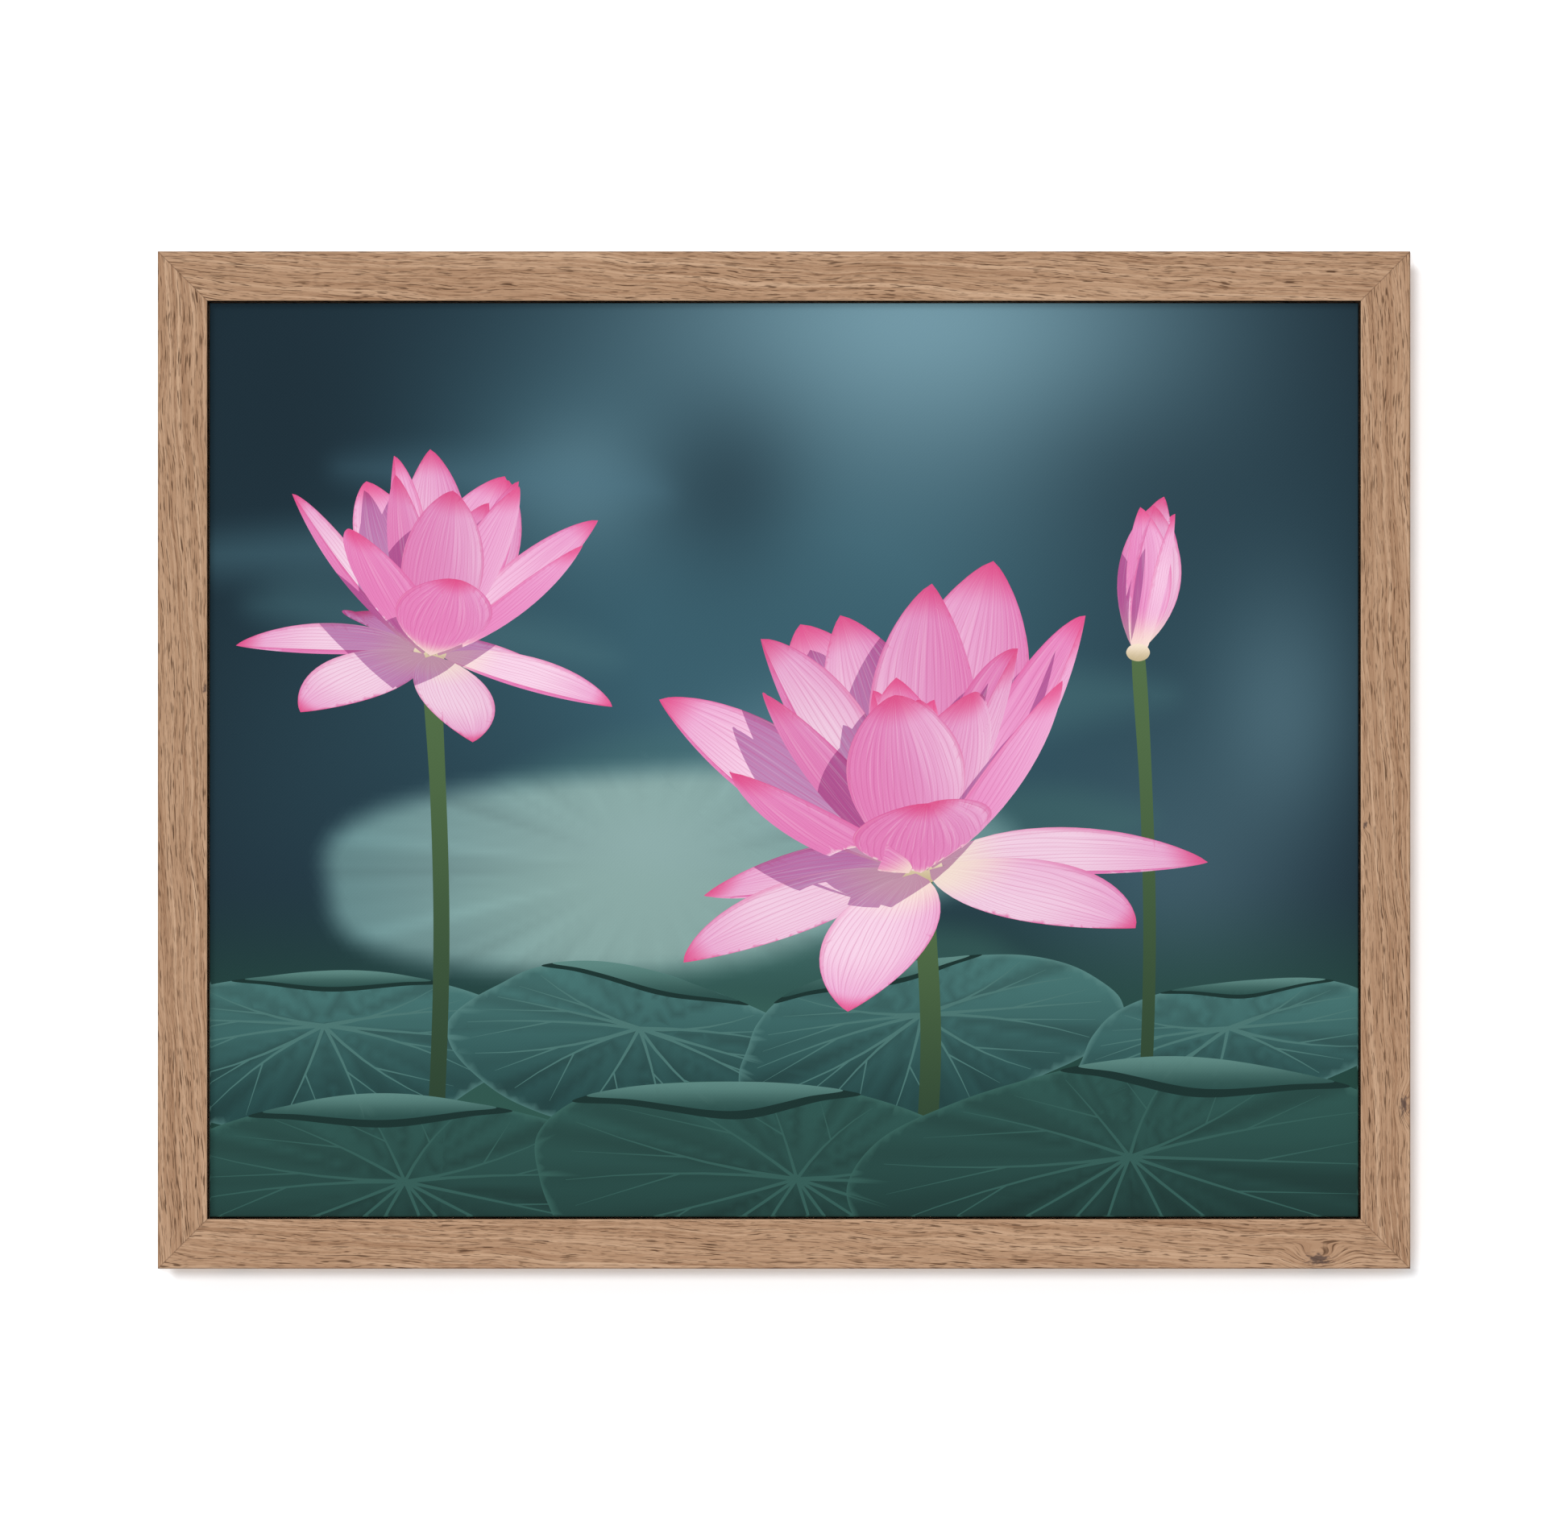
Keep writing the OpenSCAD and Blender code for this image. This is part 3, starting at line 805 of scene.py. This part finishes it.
def round_leaf(centre, radii, turn, seed, low, high, **more):
    """A lotus leaf seen aslant, from 20 points round its rim."""
    way = np.linspace(0, 2 * np.pi, 20, endpoint=False)
    return Leaf(round_rim(centre, radii, turn, seed, way), low, high, **more)


def folded_rim(centre, radii, turn, seed, first, last, depth, low, high):
    """The rim from angle first to last, in degrees, folded inward by a sine bow.

    At its middle the bow reaches depth of the way to the centre.
    """
    t = np.linspace(0, 1, 9)
    rim = round_rim(centre, radii, turn, seed, np.radians(first + (last - first) * t))
    inner = rim + (np.array(centre) - rim) * (depth * np.sin(np.pi * t))[:, None]
    return Leaf(np.concatenate([rim, inner[-2:0:-1]]), low, high)


# %% Veins of a leaf
VEIN_SHORTEST = 38.0
VEIN_WIDTH = 1.5
FORK_SPAN = 60.0


def vein(start, end, bend, width, colour):
    """A tapered line: start + (end - start)*t, with a sideways bow of bend*4t(1-t), narrowing to its tip."""
    start, end = np.array(start, float), np.array(end, float)
    t = np.linspace(0, 1, 6)[:, None]
    way = end - start
    side = np.array([-way[1], way[0]]) / np.linalg.norm(way)
    line = start + way * t + side * bend * 4 * t * (1 - t)
    half = side * width / 2 * (1 - 0.85 * t)
    return Leaf(np.concatenate([line + half, (line - half)[::-1]]), colour, colour, steps=1)


def veined(leaf, count, colour, reach=0.9):
    """The leaf, then veins from its heart toward evenly spaced places on its outline.

    A vein whose next one ends within FORK_SPAN of it has a fork between the two.
    """
    heart = np.array(leaf.heart, float)
    ends = leaf.loop[np.linspace(0, len(leaf.loop), count, endpoint=False).astype(int)]
    ends = ends[np.linalg.norm(ends - heart, axis=1) > VEIN_SHORTEST]
    lines = []
    for number, (end, after) in enumerate(zip(ends, np.roll(ends, -1, axis=0))):
        bend = 3.0 * np.sin(number * 2.4)
        way = (end - heart) * reach
        lines.append(vein(heart, heart + way, bend, VEIN_WIDTH, colour))
        if np.linalg.norm(after - end) < FORK_SPAN:
            fork = heart + way / 2 + np.array([-way[1], way[0]]) / np.linalg.norm(way) * bend
            lines.append(vein(fork, heart + ((end + after) / 2 - heart) * reach, 0, VEIN_WIDTH / 2, colour))
    for line in lines:
        line.parent = leaf
    return [leaf, *lines]


# %% [markdown]
# ## The blurred pond
# Behind the flowers and the rows of leaves all is out of focus. The water is a blend from dark blue-green at
# the edges to a milky light at the top, broken up by slow waves and by soft patches from a seeded draw. Soft
# leaves lie over it. The nearer one is, the lower it lies, the larger and greener it is and the less it is
# blurred. One large pale leaf lies over them all, where the inner lines to the left and below cross.

# %% Background
POND_DEEP = screen(20, 36, 46)
POND_MID = screen(54, 92, 106)
POND_LIGHT = screen(118, 156, 170)
POND_GREEN = screen(34, 72, 62)
PATCHES = 12
PATCH_SEED = 5
SOFT_LEAVES = 9
SOFT_SEED = 2
SOFT_FAR = screen(78, 116, 132)
SOFT_NEAR = screen(58, 102, 92)
PALE_LEAF = FLAT * (-INNER, -INNER)
PALE_RADII = (150, 44)
STEM_BOW = 5.0


def bell(points, centre, size):
    """exp of minus the squared distance from centre, each axis measured in its own size."""
    return np.exp(-(((points - centre) / size) ** 2).sum(1))


def water(points):
    """Light falls off from the middle and the top; dark and pale patches then lie over it in turn."""
    x, z = points.T
    slow = 0.5 + 0.25 * np.sin(x / 47 + z / 61 + 1.0) + 0.25 * np.sin(x / 31 - z / 39 + 2.0)
    lit = bell(points, FLAT * (0, INNER), FLAT * 0.8) * 1.05 + 0.12 * slow
    colour = blend(POND_DEEP, POND_MID, np.clip(lit, 0, 1))
    colour = blend(colour, POND_LIGHT, 0.95 * bell(points, FLAT * (INNER, 1), FLAT * (0.5, 0.42)))
    rng = np.random.default_rng(PATCH_SEED)
    for number in range(PATCHES):
        centre = rng.uniform(-1, 1, 2) * FLAT
        size = rng.uniform(25, 70, 2)
        tint = POND_LIGHT if number % 2 else POND_DEEP
        colour = blend(colour, tint, rng.uniform(0.2, 0.5) * bell(points, centre, size))
    return blend(colour, POND_GREEN, 0.85 * smooth(-INNER, -OUTER, z / FLAT[1]))


def pond(points):
    """The screen colours of the water and the soft leaves at points."""
    colour = water(points)
    way = np.linspace(0, 2 * np.pi, 48, endpoint=False)
    rng = np.random.default_rng(SOFT_SEED)
    for nearness in np.linspace(0, 1, SOFT_LEAVES):
        centre = FLAT * (rng.uniform(-1, 1), OUTER - 1.3 * nearness)
        radii = 70 + 40 * nearness, 9 + 18 * nearness
        loop = round_rim(centre, radii, rng.uniform(-10, 10), rng.uniform(0, 6), way)
        share = 0.5 * soft_inside(points, loop, 13 - 5 * nearness)
        colour = blend(colour, blend(SOFT_FAR, SOFT_NEAR, nearness), share)
    loop = round_rim(PALE_LEAF, PALE_RADII, 4, 1.0, way)
    far = np.hypot(*(points - PALE_LEAF).T)
    pale = blend(screen(150, 180, 175), screen(104, 144, 146), smooth(15, 180, far))
    pale = pale * (1 + 0.08 * smooth(10, 90, far) * fan_streaks(points, PALE_LEAF, 17, 1.0))[:, None]
    return blend(colour, pale, 0.85 * soft_inside(points, loop, 8))


# %% Rows of leaves and the stems
# low and high colour of the blade, then the rim and the veins
FAR_TONES = [(34, 68, 68), (66, 110, 108), (92, 136, 132), (74, 116, 112)]
NEAR_TONES = [(20, 42, 40), (44, 82, 77), (62, 106, 98), (52, 92, 86)]
FOLD_SHADE = (24, 50, 47)
FOLD_TONES = [(42, 78, 74), (92, 134, 128)]


def leaf_row(count, height, radii, tones, seed):
    """Leaves evenly spaced from side to side. A seeded draw varies each one's place, size, turn and fold."""
    low, high, rim, vein_tone = tones
    rng = np.random.default_rng(seed)
    row = []
    for number in range(count):
        place = FLAT[0] * (2 * number + 1 - count) / count, height
        centre = place + rng.uniform(-1, 1, 2) * (16, 7)
        size = np.array(radii) * rng.uniform(0.88, 1.12)
        shape = centre, size, rng.uniform(-12, 12), rng.uniform(0, 6)
        heart = tuple(centre + (0, 0.3 * size[1]))
        leaf = round_leaf(*shape, low, high, heart=heart, veins=8, rim=rim, rim_mm=2.0)
        first = rng.uniform(25, 95)
        row += veined(leaf, 14, vein_tone)
        row.append(folded_rim(*shape, first - 4, first + 62, 0.27, FOLD_SHADE, FOLD_SHADE))
        row.append(folded_rim(*shape, first, first + 58, 0.21, *FOLD_TONES))
    return row


def stem(heart, width):
    """A stem from a flower's heart down to the lower edge, bowed to the right as half a sine."""
    t = np.linspace(0, 1, 5)[:, None]
    line = heart + (0, -FLAT[1] - heart[1]) * t + np.sin(np.pi * t) * (STEM_BOW, 0)
    side = np.array([width / 2, 0])
    return Leaf(np.concatenate([line - side, (line + side)[::-1]]), (38, 62, 46), (82, 110, 70))


# %% The stack of shapes, from far to near
shapes = [
    *leaf_row(4, -OUTER * FLAT[1], (80, 33), FAR_TONES, 3),
    stem(BUD_HEART, 5.5),
    stem(SMALL_HEART, 7.0),
    stem(BIG_HEART, 9.0),
    *flower(BUD_RINGS, BUD_HEART, 8, -7, BUD_SEED),
    *flower(HALF_OPEN_RINGS, SMALL_HEART, 18, -10, SMALL_SEED),
    *flower(OPEN_RINGS, BIG_HEART, 24, 8, BIG_SEED),
    *leaf_row(3, -FLAT[1], (112, 58), NEAR_TONES, 6),
]
print("shapes in the picture:", len(shapes))

# %% [markdown]
# ## One mesh for the face
# A Delaunay triangulation takes free points and closed outlines and gives triangles whose edges follow every
# outline. Each triangle then belongs to the last shape in the stack that its middle lies in. A petal also
# throws the shadow that gives a sunlit flower its crisp lines: its outline, moved a step away from the sun,
# darkens any petal that lies further back.

# %% Triangulate the outlines
COARSE = 3.4
FINE = 1.7


def hex_points(low, high, pitch):
    """Points in rows, every second row moved half a pitch, so that neighbours are all one pitch apart."""
    x = np.arange(low[0], high[0], pitch)
    z = np.arange(low[1], high[1], pitch * np.sqrt(0.75))
    grid = np.stack(np.meshgrid(x, z), -1)
    grid[1::2, :, 0] += pitch / 2
    return grid.reshape(-1, 2)


def rim_points(half, pitch):
    """A rectangle of half sizes half, walked anticlockwise in steps of about pitch."""
    corners = np.array([(-1, -1), (1, -1), (1, 1), (-1, 1)]) * half
    sides = []
    for a, b in zip(corners, np.roll(corners, -1, axis=0)):
        count = int(np.ceil(np.linalg.norm(b - a) / pitch))
        sides.append(a + (b - a) * (np.arange(count) / count)[:, None])
    return np.concatenate(sides)


rim = rim_points(FLAT, 3.0)
loops = [rim] + [shape.outline() for shape in shapes]
loops += [shape.outline() + SHADOW_STEP for shape in shapes if shape.casts]
free = hex_points(-FLAT + 2, FLAT - 2, COARSE)
petals = np.concatenate([shape.outline() for shape in shapes if shape.casts])
dense = hex_points(petals.min(0), petals.max(0), FINE)
cover_all = np.zeros(len(dense), bool)
for shape in shapes:
    if shape.casts:
        cover_all |= within(dense, shape.outline())
free = np.concatenate([free, dense[cover_all]])
inner = (np.abs(free) < FLAT - 1.5).all(1)
free = free[inner]
points = np.concatenate([free, *loops])
starts = len(free) + np.cumsum([0] + [len(loop) for loop in loops])
edges = [(i, i + 1 if i + 1 < stop else start) for start, stop in zip(starts[:-1], starts[1:])
         for i in range(start, stop)]
result = delaunay_2d_cdt([Vector(p) for p in points.tolist()], edges, [], 0, 1e-4, True)
flat_points = np.array([tuple(p) for p in result[0]])
triangles = np.array(result[2])
middle = flat_points[triangles].mean(1)
triangles = triangles[(np.abs(middle) < FLAT).all(1)]
# a shape may run off the picture, so the points that no triangle uses are dropped
used, numbers = np.unique(triangles, return_inverse=True)
flat_points, triangles = flat_points[used], numbers.reshape(-1, 3)
middle = flat_points[triangles].mean(1)

# %% Which shape is on top of each triangle


def triangles_within(loop):
    """Numbers of the triangles whose middle is inside the loop; only those in its box are tested."""
    near = np.nonzero(((middle > loop.min(0)) & (middle < loop.max(0))).all(1))[0]
    return near[within(middle[near], loop)]


top = np.full(len(triangles), -1)
petal_over = np.full(len(triangles), -1)
for index, shape in enumerate(shapes):
    pick = triangles_within(shape.outline())
    if shape.parent:
        family = [i for i, other in enumerate(shapes) if shape.parent in (other, other.parent)]
        pick = pick[np.isin(top[pick], family)]
    top[pick] = index
    if shape.casts:
        petal_over[triangles_within(shape.outline() + SHADOW_STEP)] = index
is_petal = np.array([shape.casts for shape in shapes] + [False])
shaded = is_petal[top] & (petal_over > top)
print("face triangles:", len(triangles), "points:", len(flat_points))

# %% [markdown]
# ## The stretched canvas as one closed shell
# A canvas goes round the bars in one piece: the face, a rounded edge, the side, another edge, and a turnover
# that is stapled behind. The face's border is walked once, and every further ring is that same walk with
# another size and depth, so one loop of numbers describes the whole wrap. It then turns round the hem and
# comes back inside as the cloth's other skin, half a millimetre in, and a coarse second face closes it.

# %% The rings of the wrap
TURNOVER = 29.0
STAPLE_PITCH_RAIL = 46.75
STAPLE_PITCH_STILE = 45.33
FLANGE_REACH = 19.5  # the cloth lies flat to just past the edge of the oak's flange
HEM_WAVE = 0.35
CORNER_FOLD = 0.45
ON_EDGE = 1e-2


def walk_place(points):
    """Distance walked anticlockwise from the lower left corner, for points on the flat face's border."""
    x, z = points.T
    wide, high = 2 * FLAT
    on_low, on_right = z < -FLAT[1] + ON_EDGE, x > FLAT[0] - ON_EDGE
    on_high = z > FLAT[1] - ON_EDGE
    return np.select([on_low, on_right, on_high],
                     [x + FLAT[0], wide + z + FLAT[1], wide + high + FLAT[0] - x],
                     2 * wide + high + FLAT[1] - z)


border = np.nonzero((np.abs(np.abs(flat_points) - FLAT) < ON_EDGE).any(1))[0]
border = border[np.argsort(walk_place(flat_points[border]))]
walk = flat_points[border]
corner_gap = (FLAT - np.abs(walk)).max(1)
on_rail = np.abs(np.abs(walk[:, 1]) - FLAT[1]) < ON_EDGE
along_side = np.where(on_rail, walk[:, 0], walk[:, 1])
staple_pitch = np.where(on_rail, STAPLE_PITCH_RAIL, STAPLE_PITCH_STILE)


def ring(inset, y, lifted=0.0):
    """The border walk drawn in by inset from the outer edge, at depth y, lifted clear of the bars."""
    plan = walk / FLAT * (HALF - np.reshape(inset, (-1, 1)))
    return np.stack([plan[:, 0], np.broadcast_to(y + lifted, len(walk)), plan[:, 1]], 1)


def hem_lift(inset):
    """Between two staples the cloth rises as a cosine, and at a corner one side is folded over the other."""
    free = smooth(FLANGE_REACH, TURNOVER, inset)
    wave = HEM_WAVE * (0.5 - 0.5 * np.cos(2 * np.pi * along_side / staple_pitch))
    fold = CORNER_FOLD * on_rail * smooth(46, 38, corner_gap)
    return free * (wave + fold)


quarter = np.linspace(0, np.pi / 2, 5)
rings = [ring(BEND * (1 - np.sin(a)), FRONT_Y + BEND * (1 - np.cos(a))) for a in quarter[1:]]
rings += [ring(0, y) for y in np.linspace(FRONT_Y + BEND, REAR_Y - BEND, 6)[1:]]
rings += [ring(BEND * (1 - np.cos(a)), REAR_Y - BEND * (1 - np.sin(a))) for a in quarter[1:]]
printed_rings = len(rings) + 2
ragged = TURNOVER + 0.5 * np.sin(along_side / 7.3) + 0.4 * np.sin(along_side / 3.1 + 2)
insets = [4.0, 8.0, 13.0, FLANGE_REACH, 22.0, 24.5, 27.0]
rings += [ring(inset, REAR_Y, hem_lift(inset)) for inset in insets]
rings += [ring(ragged, REAR_Y, hem_lift(TURNOVER))]
primed_rings = len(rings)
rings += [ring(ragged, REAR_Y - THICK, hem_lift(TURNOVER))]
rings += [ring(inset, REAR_Y - THICK, hem_lift(inset)) for inset in reversed(insets)]
rings += [ring(THICK, y) for y in (REAR_Y - THICK, (FRONT_Y + REAR_Y) / 2, FRONT_Y + THICK)]
print("rings round the canvas:", len(rings), "of", len(walk), "points")

# %% The inner face
inside_rim = rings[-1][:, [0, 2]]
inside_free = hex_points(-HALF + 6, HALF - 6, 9.0)
inside_points = np.concatenate([inside_rim, inside_free])
count = len(inside_rim)
inside = delaunay_2d_cdt([Vector(p) for p in inside_points.tolist()],
                         [(i, (i + 1) % count) for i in range(count)], [], 1, 1e-5, True)
inside_triangles = np.array([[inside[3][i][0] for i in face] for face in inside[2]])

# %% Vertices, faces and materials
face_space = np.stack([flat_points[:, 0], np.full(len(flat_points), FRONT_Y), flat_points[:, 1]], 1)
ring_numbers = len(flat_points) + np.arange(len(rings) * count).reshape(len(rings), count)
ring_numbers = np.concatenate([border[None], ring_numbers])
inside_y = np.full(len(inside_free), FRONT_Y + THICK)
inside_space = np.stack([inside_free[:, 0], inside_y, inside_free[:, 1]], 1)
all_points = np.concatenate([face_space, *rings, inside_space])
after = np.roll(ring_numbers, -1, axis=1)
quads = np.stack([ring_numbers[:-1], ring_numbers[1:], after[1:], after[:-1]], -1)
inner_number = np.concatenate([ring_numbers[-1], ring_numbers.max() + 1 + np.arange(len(inside_free))])
inner_faces = inner_number[inside_triangles][:, ::-1]
faces = triangles.tolist() + quads.reshape(-1, 4).tolist() + inner_faces.tolist()
which = np.zeros(len(quads), int)
which[printed_rings - 1:] = 1
which[primed_rings:] = 2
materials = np.concatenate([np.zeros(len(triangles), int), np.repeat(which, count),
                            np.full(len(inner_faces), 2)])
print("canvas:", len(all_points), "points,", len(faces), "faces")

# %% [markdown]
# ## Paint on the corners of the faces
# Two shapes that touch share the points between them but not their colours, so paint belongs to the corner
# of a face and not to the point. The side of the canvas repeats the colours of the face's border, as a
# stretched print does. A second set of numbers, u and v, tells the material where on a petal a corner lies.

# %% Colours and petal coordinates

face_paint = np.zeros((len(triangles), 3, 3))
face_petal = np.zeros((len(triangles), 3, 3))
for index in range(-1, len(shapes)):
    for dark in (False, True):
        pick = np.nonzero((top == index) & (shaded == dark))[0]
        if len(pick) == 0:
            continue
        numbers, back = np.unique(triangles[pick], return_inverse=True)
        where = flat_points[numbers]
        if index < 0:
            colour, petal = pond(where), np.zeros((len(where), 3))
        else:
            colour, petal = shapes[index].paint(where, np.full(len(where), dark))
        face_paint[pick] = colour[back].reshape(-1, 3, 3)
        face_petal[pick] = petal[back].reshape(-1, 3, 3)
point_paint = np.zeros((len(flat_points), 3))
point_paint[triangles.ravel()] = face_paint.reshape(-1, 3)
side_paint = np.stack([point_paint[ring_numbers[0]], point_paint[after[0]]], 1)
side_paint = np.tile(side_paint[:, [0, 0, 1, 1]], (len(quads), 1, 1, 1)).reshape(-1, 3)
inner_corners = inner_faces.size
paint = np.concatenate([face_paint.reshape(-1, 3), side_paint, np.zeros((inner_corners, 3))])
petal = np.concatenate([face_petal.reshape(-1, 3), np.zeros((len(side_paint) + inner_corners, 3))])
print("corners painted:", len(paint))

# %% [markdown]
# ## Three finishes on one cloth
# The face is ink on a primed plain weave: matt, with threads that show only as a fine relief. Behind, the
# primer is bare and nearly white. Inside and at the hem the cotton is raw, and its threads show in colour.
# Petal veins run from heart to tip at equal steps of u, each a thin darker line, with finer streaks between.

# %% Print, primer and cotton
THREADS_PER_M = 1250.0
TURN = 2 * np.pi
VEINS_PER_SIDE = 10.0


def weave(finish):
    """0 to 1: product of two sines, one thread over and the next under, at the cloth's thread count."""
    x, y, z = finish.place()
    across = (x * (THREADS_PER_M * TURN / 2)).math("SINE")
    up = (z * (THREADS_PER_M * TURN / 2)).math("SINE")
    return across * up * 0.5 + 0.5


def print_finish():
    """The paint of the corners, with the veins of the petals over it where the petal numbers say so."""
    finish = Finish("printed_face", {"Specular IOR Level": 0.12})
    ink = finish.node("ShaderNodeAttribute", {"attribute_name": "paint"}, {})["Color"]
    petal_place = finish.node("ShaderNodeAttribute", {"attribute_name": "petal"}, {})["Vector"]
    axes = finish.node("ShaderNodeSeparateXYZ", {}, {"Vector": petal_place})
    u, v, on = axes["X"], axes["Y"], axes["Z"]
    wobble = finish.noise(finish.vector(u * 3, v * 2.5, 0.0), detail=1.0)
    swing = ((u * VEINS_PER_SIDE + (wobble - 0.5) * 1.6) * TURN).math("COSINE")
    ends = v.between(0.04, 0.3) * (1 - v.between(0.8, 1.0))
    line = swing.between(0.72, 1.0) * ends * on
    fine = finish.noise(finish.vector(u * 34, v * 2.0, 0.0), detail=2.0)
    colour = finish.mix(line * 0.3, ink, linear(196, 72, 140))
    colour = finish.mix(fine.between(0.5, 0.72) * on * 0.16, colour, linear(255, 236, 246))
    colour = finish.mix(fine.between(0.5, 0.3) * on * 0.16, colour, linear(206, 104, 166))
    finish.drive("Base Color", colour)
    threads = weave(finish)
    finish.drive("Roughness", 0.84 + threads * 0.08)
    finish.bump(threads, 0.04 * MM, 0.5)
    return finish


def cloth_finish(name, dark, pale, relief):
    """Bare cloth from dark to pale: thick and thin threads both ways, with relief in mm."""
    finish = Finish(name, {"Specular IOR Level": 0.15})
    x, y, z = finish.place()
    slubs = finish.noise(finish.vector(x * 90, y * 90, z * 900), detail=2.0)
    slubs = slubs * 0.5 + finish.noise(finish.vector(x * 900, y * 90, z * 90), detail=2.0) * 0.5
    threads = weave(finish)
    tone = slubs * 0.7 + threads * 0.3
    finish.drive("Base Color", finish.mix(tone.between(0.3, 0.7), dark, pale))
    finish.drive("Roughness", 0.95 - threads * 0.1)
    finish.bump(threads * 0.6 + slubs * 0.4, relief * MM, 0.8)
    return finish


print_face = print_finish()
primer = cloth_finish("primed_turnover", linear(222, 219, 210), linear(240, 238, 232), 0.08)
cotton = cloth_finish("raw_cotton", linear(196, 184, 158), linear(226, 216, 194), 0.15)

# %% The canvas object


def canvas_object():
    """The mesh of the whole canvas with its three materials and its two corner attributes."""
    mesh = bpy.data.meshes.new("stretched_canvas")
    mesh.from_pydata((all_points * MM).tolist(), [], faces)
    for finish in (print_face, primer, cotton):
        mesh.materials.append(finish.material)
    mesh.polygons.foreach_set("material_index", materials.astype(np.int32))
    ink = mesh.attributes.new("paint", "FLOAT_COLOR", "CORNER")
    ink.data.foreach_set("color", np.concatenate([to_light(paint), np.ones((len(paint), 1))], 1).ravel())
    place = mesh.attributes.new("petal", "FLOAT_VECTOR", "CORNER")
    place.data.foreach_set("vector", petal.ravel())
    canvas = bpy.data.objects.new("stretched_canvas", mesh)
    bpy.context.scene.collection.objects.link(canvas)
    return canvas


canvas = canvas_object()
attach(canvas, "frame")
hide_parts("canvas_print")

# %% [markdown]
# ## Wall, floor, light and camera
# The frame hangs on a white wall in soft light from the upper left, with a lamp close to the viewer whose
# shadow is a narrow soft band to the right of the frame and below it. The wall is meant to show as pure
# white, with only the deepest shade beside the frame falling below it, so its diffuse colour is set above 1,
# brighter than any paint. Its blue is a little stronger than its red, because oak sends warm light into that
# shade. The wall is a backdrop alone: it is seen from the front, throws no light back and casts no shadow,
# and its back face is clear, so the frame can be looked at from behind as well.

# %% Wall and floor


def stage_plane(name, centre, across, up, colour, clear_back):
    """A flat patch with sides 2*across and 2*up about centre, whose front is across x up."""
    c, a, u = (np.array(v, float) for v in (centre, across, up))
    mesh = bpy.data.meshes.new(name)
    corners = np.array([c - a - u, c + a - u, c + a + u, c - a + u])
    mesh.from_pydata(corners.tolist(), [], [(0, 1, 2, 3)])
    material = bpy.data.materials.new(name)
    material.use_nodes = True
    tree = material.node_tree
    tree.nodes.remove(tree.nodes["Principled BSDF"])
    diffuse = tree.nodes.new("ShaderNodeBsdfDiffuse")
    diffuse.inputs["Color"].default_value = colour
    result = diffuse.outputs[0]
    if clear_back:
        side = tree.nodes.new("ShaderNodeNewGeometry").outputs["Backfacing"]
        mix = tree.nodes.new("ShaderNodeMixShader")
        tree.links.new(side, mix.inputs[0])
        tree.links.new(result, mix.inputs[1])
        tree.links.new(tree.nodes.new("ShaderNodeBsdfTransparent").outputs[0], mix.inputs[2])
        result = mix.outputs[0]
    tree.links.new(result, tree.nodes["Material Output"].inputs["Surface"])
    mesh.materials.append(material)
    plane = bpy.data.objects.new(name, mesh)
    bpy.context.scene.collection.objects.link(plane)
    plane.visible_diffuse = False
    plane.visible_glossy = False
    plane.visible_shadow = False
    return plane


WALL_WHITE = (1.45, 1.49, 1.53, 1)
WALL_CLEAR = 0.4 * MM
stage_plane("wall", (0, WALL_CLEAR, 0), (2, 0, 0), (0, 0, 2), WALL_WHITE, True)
stage_plane("floor", (0, 0, -0.75), (4, 0, 0), (0, 4, 0), (0.75, 0.75, 0.75, 1), False)

# %% Light
AMBIENT = 0.5
KEY = 1.35
FRONT = 0.95
BACK = 1.6


def sun(name, toward, strength, angle):
    """A far lamp seen in the direction toward, as wide as angle in degrees."""
    lamp = bpy.data.lights.new(name, "SUN")
    lamp.energy = strength
    lamp.angle = np.radians(angle)
    thing = bpy.data.objects.new(name, lamp)
    thing.rotation_mode = "QUATERNION"
    thing.rotation_quaternion = Vector(toward).to_track_quat("Z", "Y")
    bpy.context.scene.collection.objects.link(thing)


sun("window", (-1.1, -1.0, 1.2), KEY, 16)
sun("lamp_by_the_viewer", (-0.07, -1.0, 0.08), FRONT, 7)
sun("room_behind", (0.7, 1.0, 0.9), BACK, 20)
world = bpy.data.worlds.new("studio")
world.use_nodes = True
world.node_tree.nodes["Background"].inputs["Color"].default_value = (AMBIENT, AMBIENT, AMBIENT, 1)
bpy.context.scene.world = world
bpy.context.scene.view_settings.view_transform = "Standard"

# %% Camera
VIEW_WIDTH = 0.681
camera = bpy.data.cameras.new("camera")
camera.type = "ORTHO"
camera.ortho_scale = VIEW_WIDTH
eye = bpy.data.objects.new("camera", camera)
eye.location = (0, -2, 0)
eye.rotation_euler = (np.pi / 2, 0, 0)
bpy.context.scene.collection.objects.link(eye)
bpy.context.scene.camera = eye
print("stage, light and camera set")
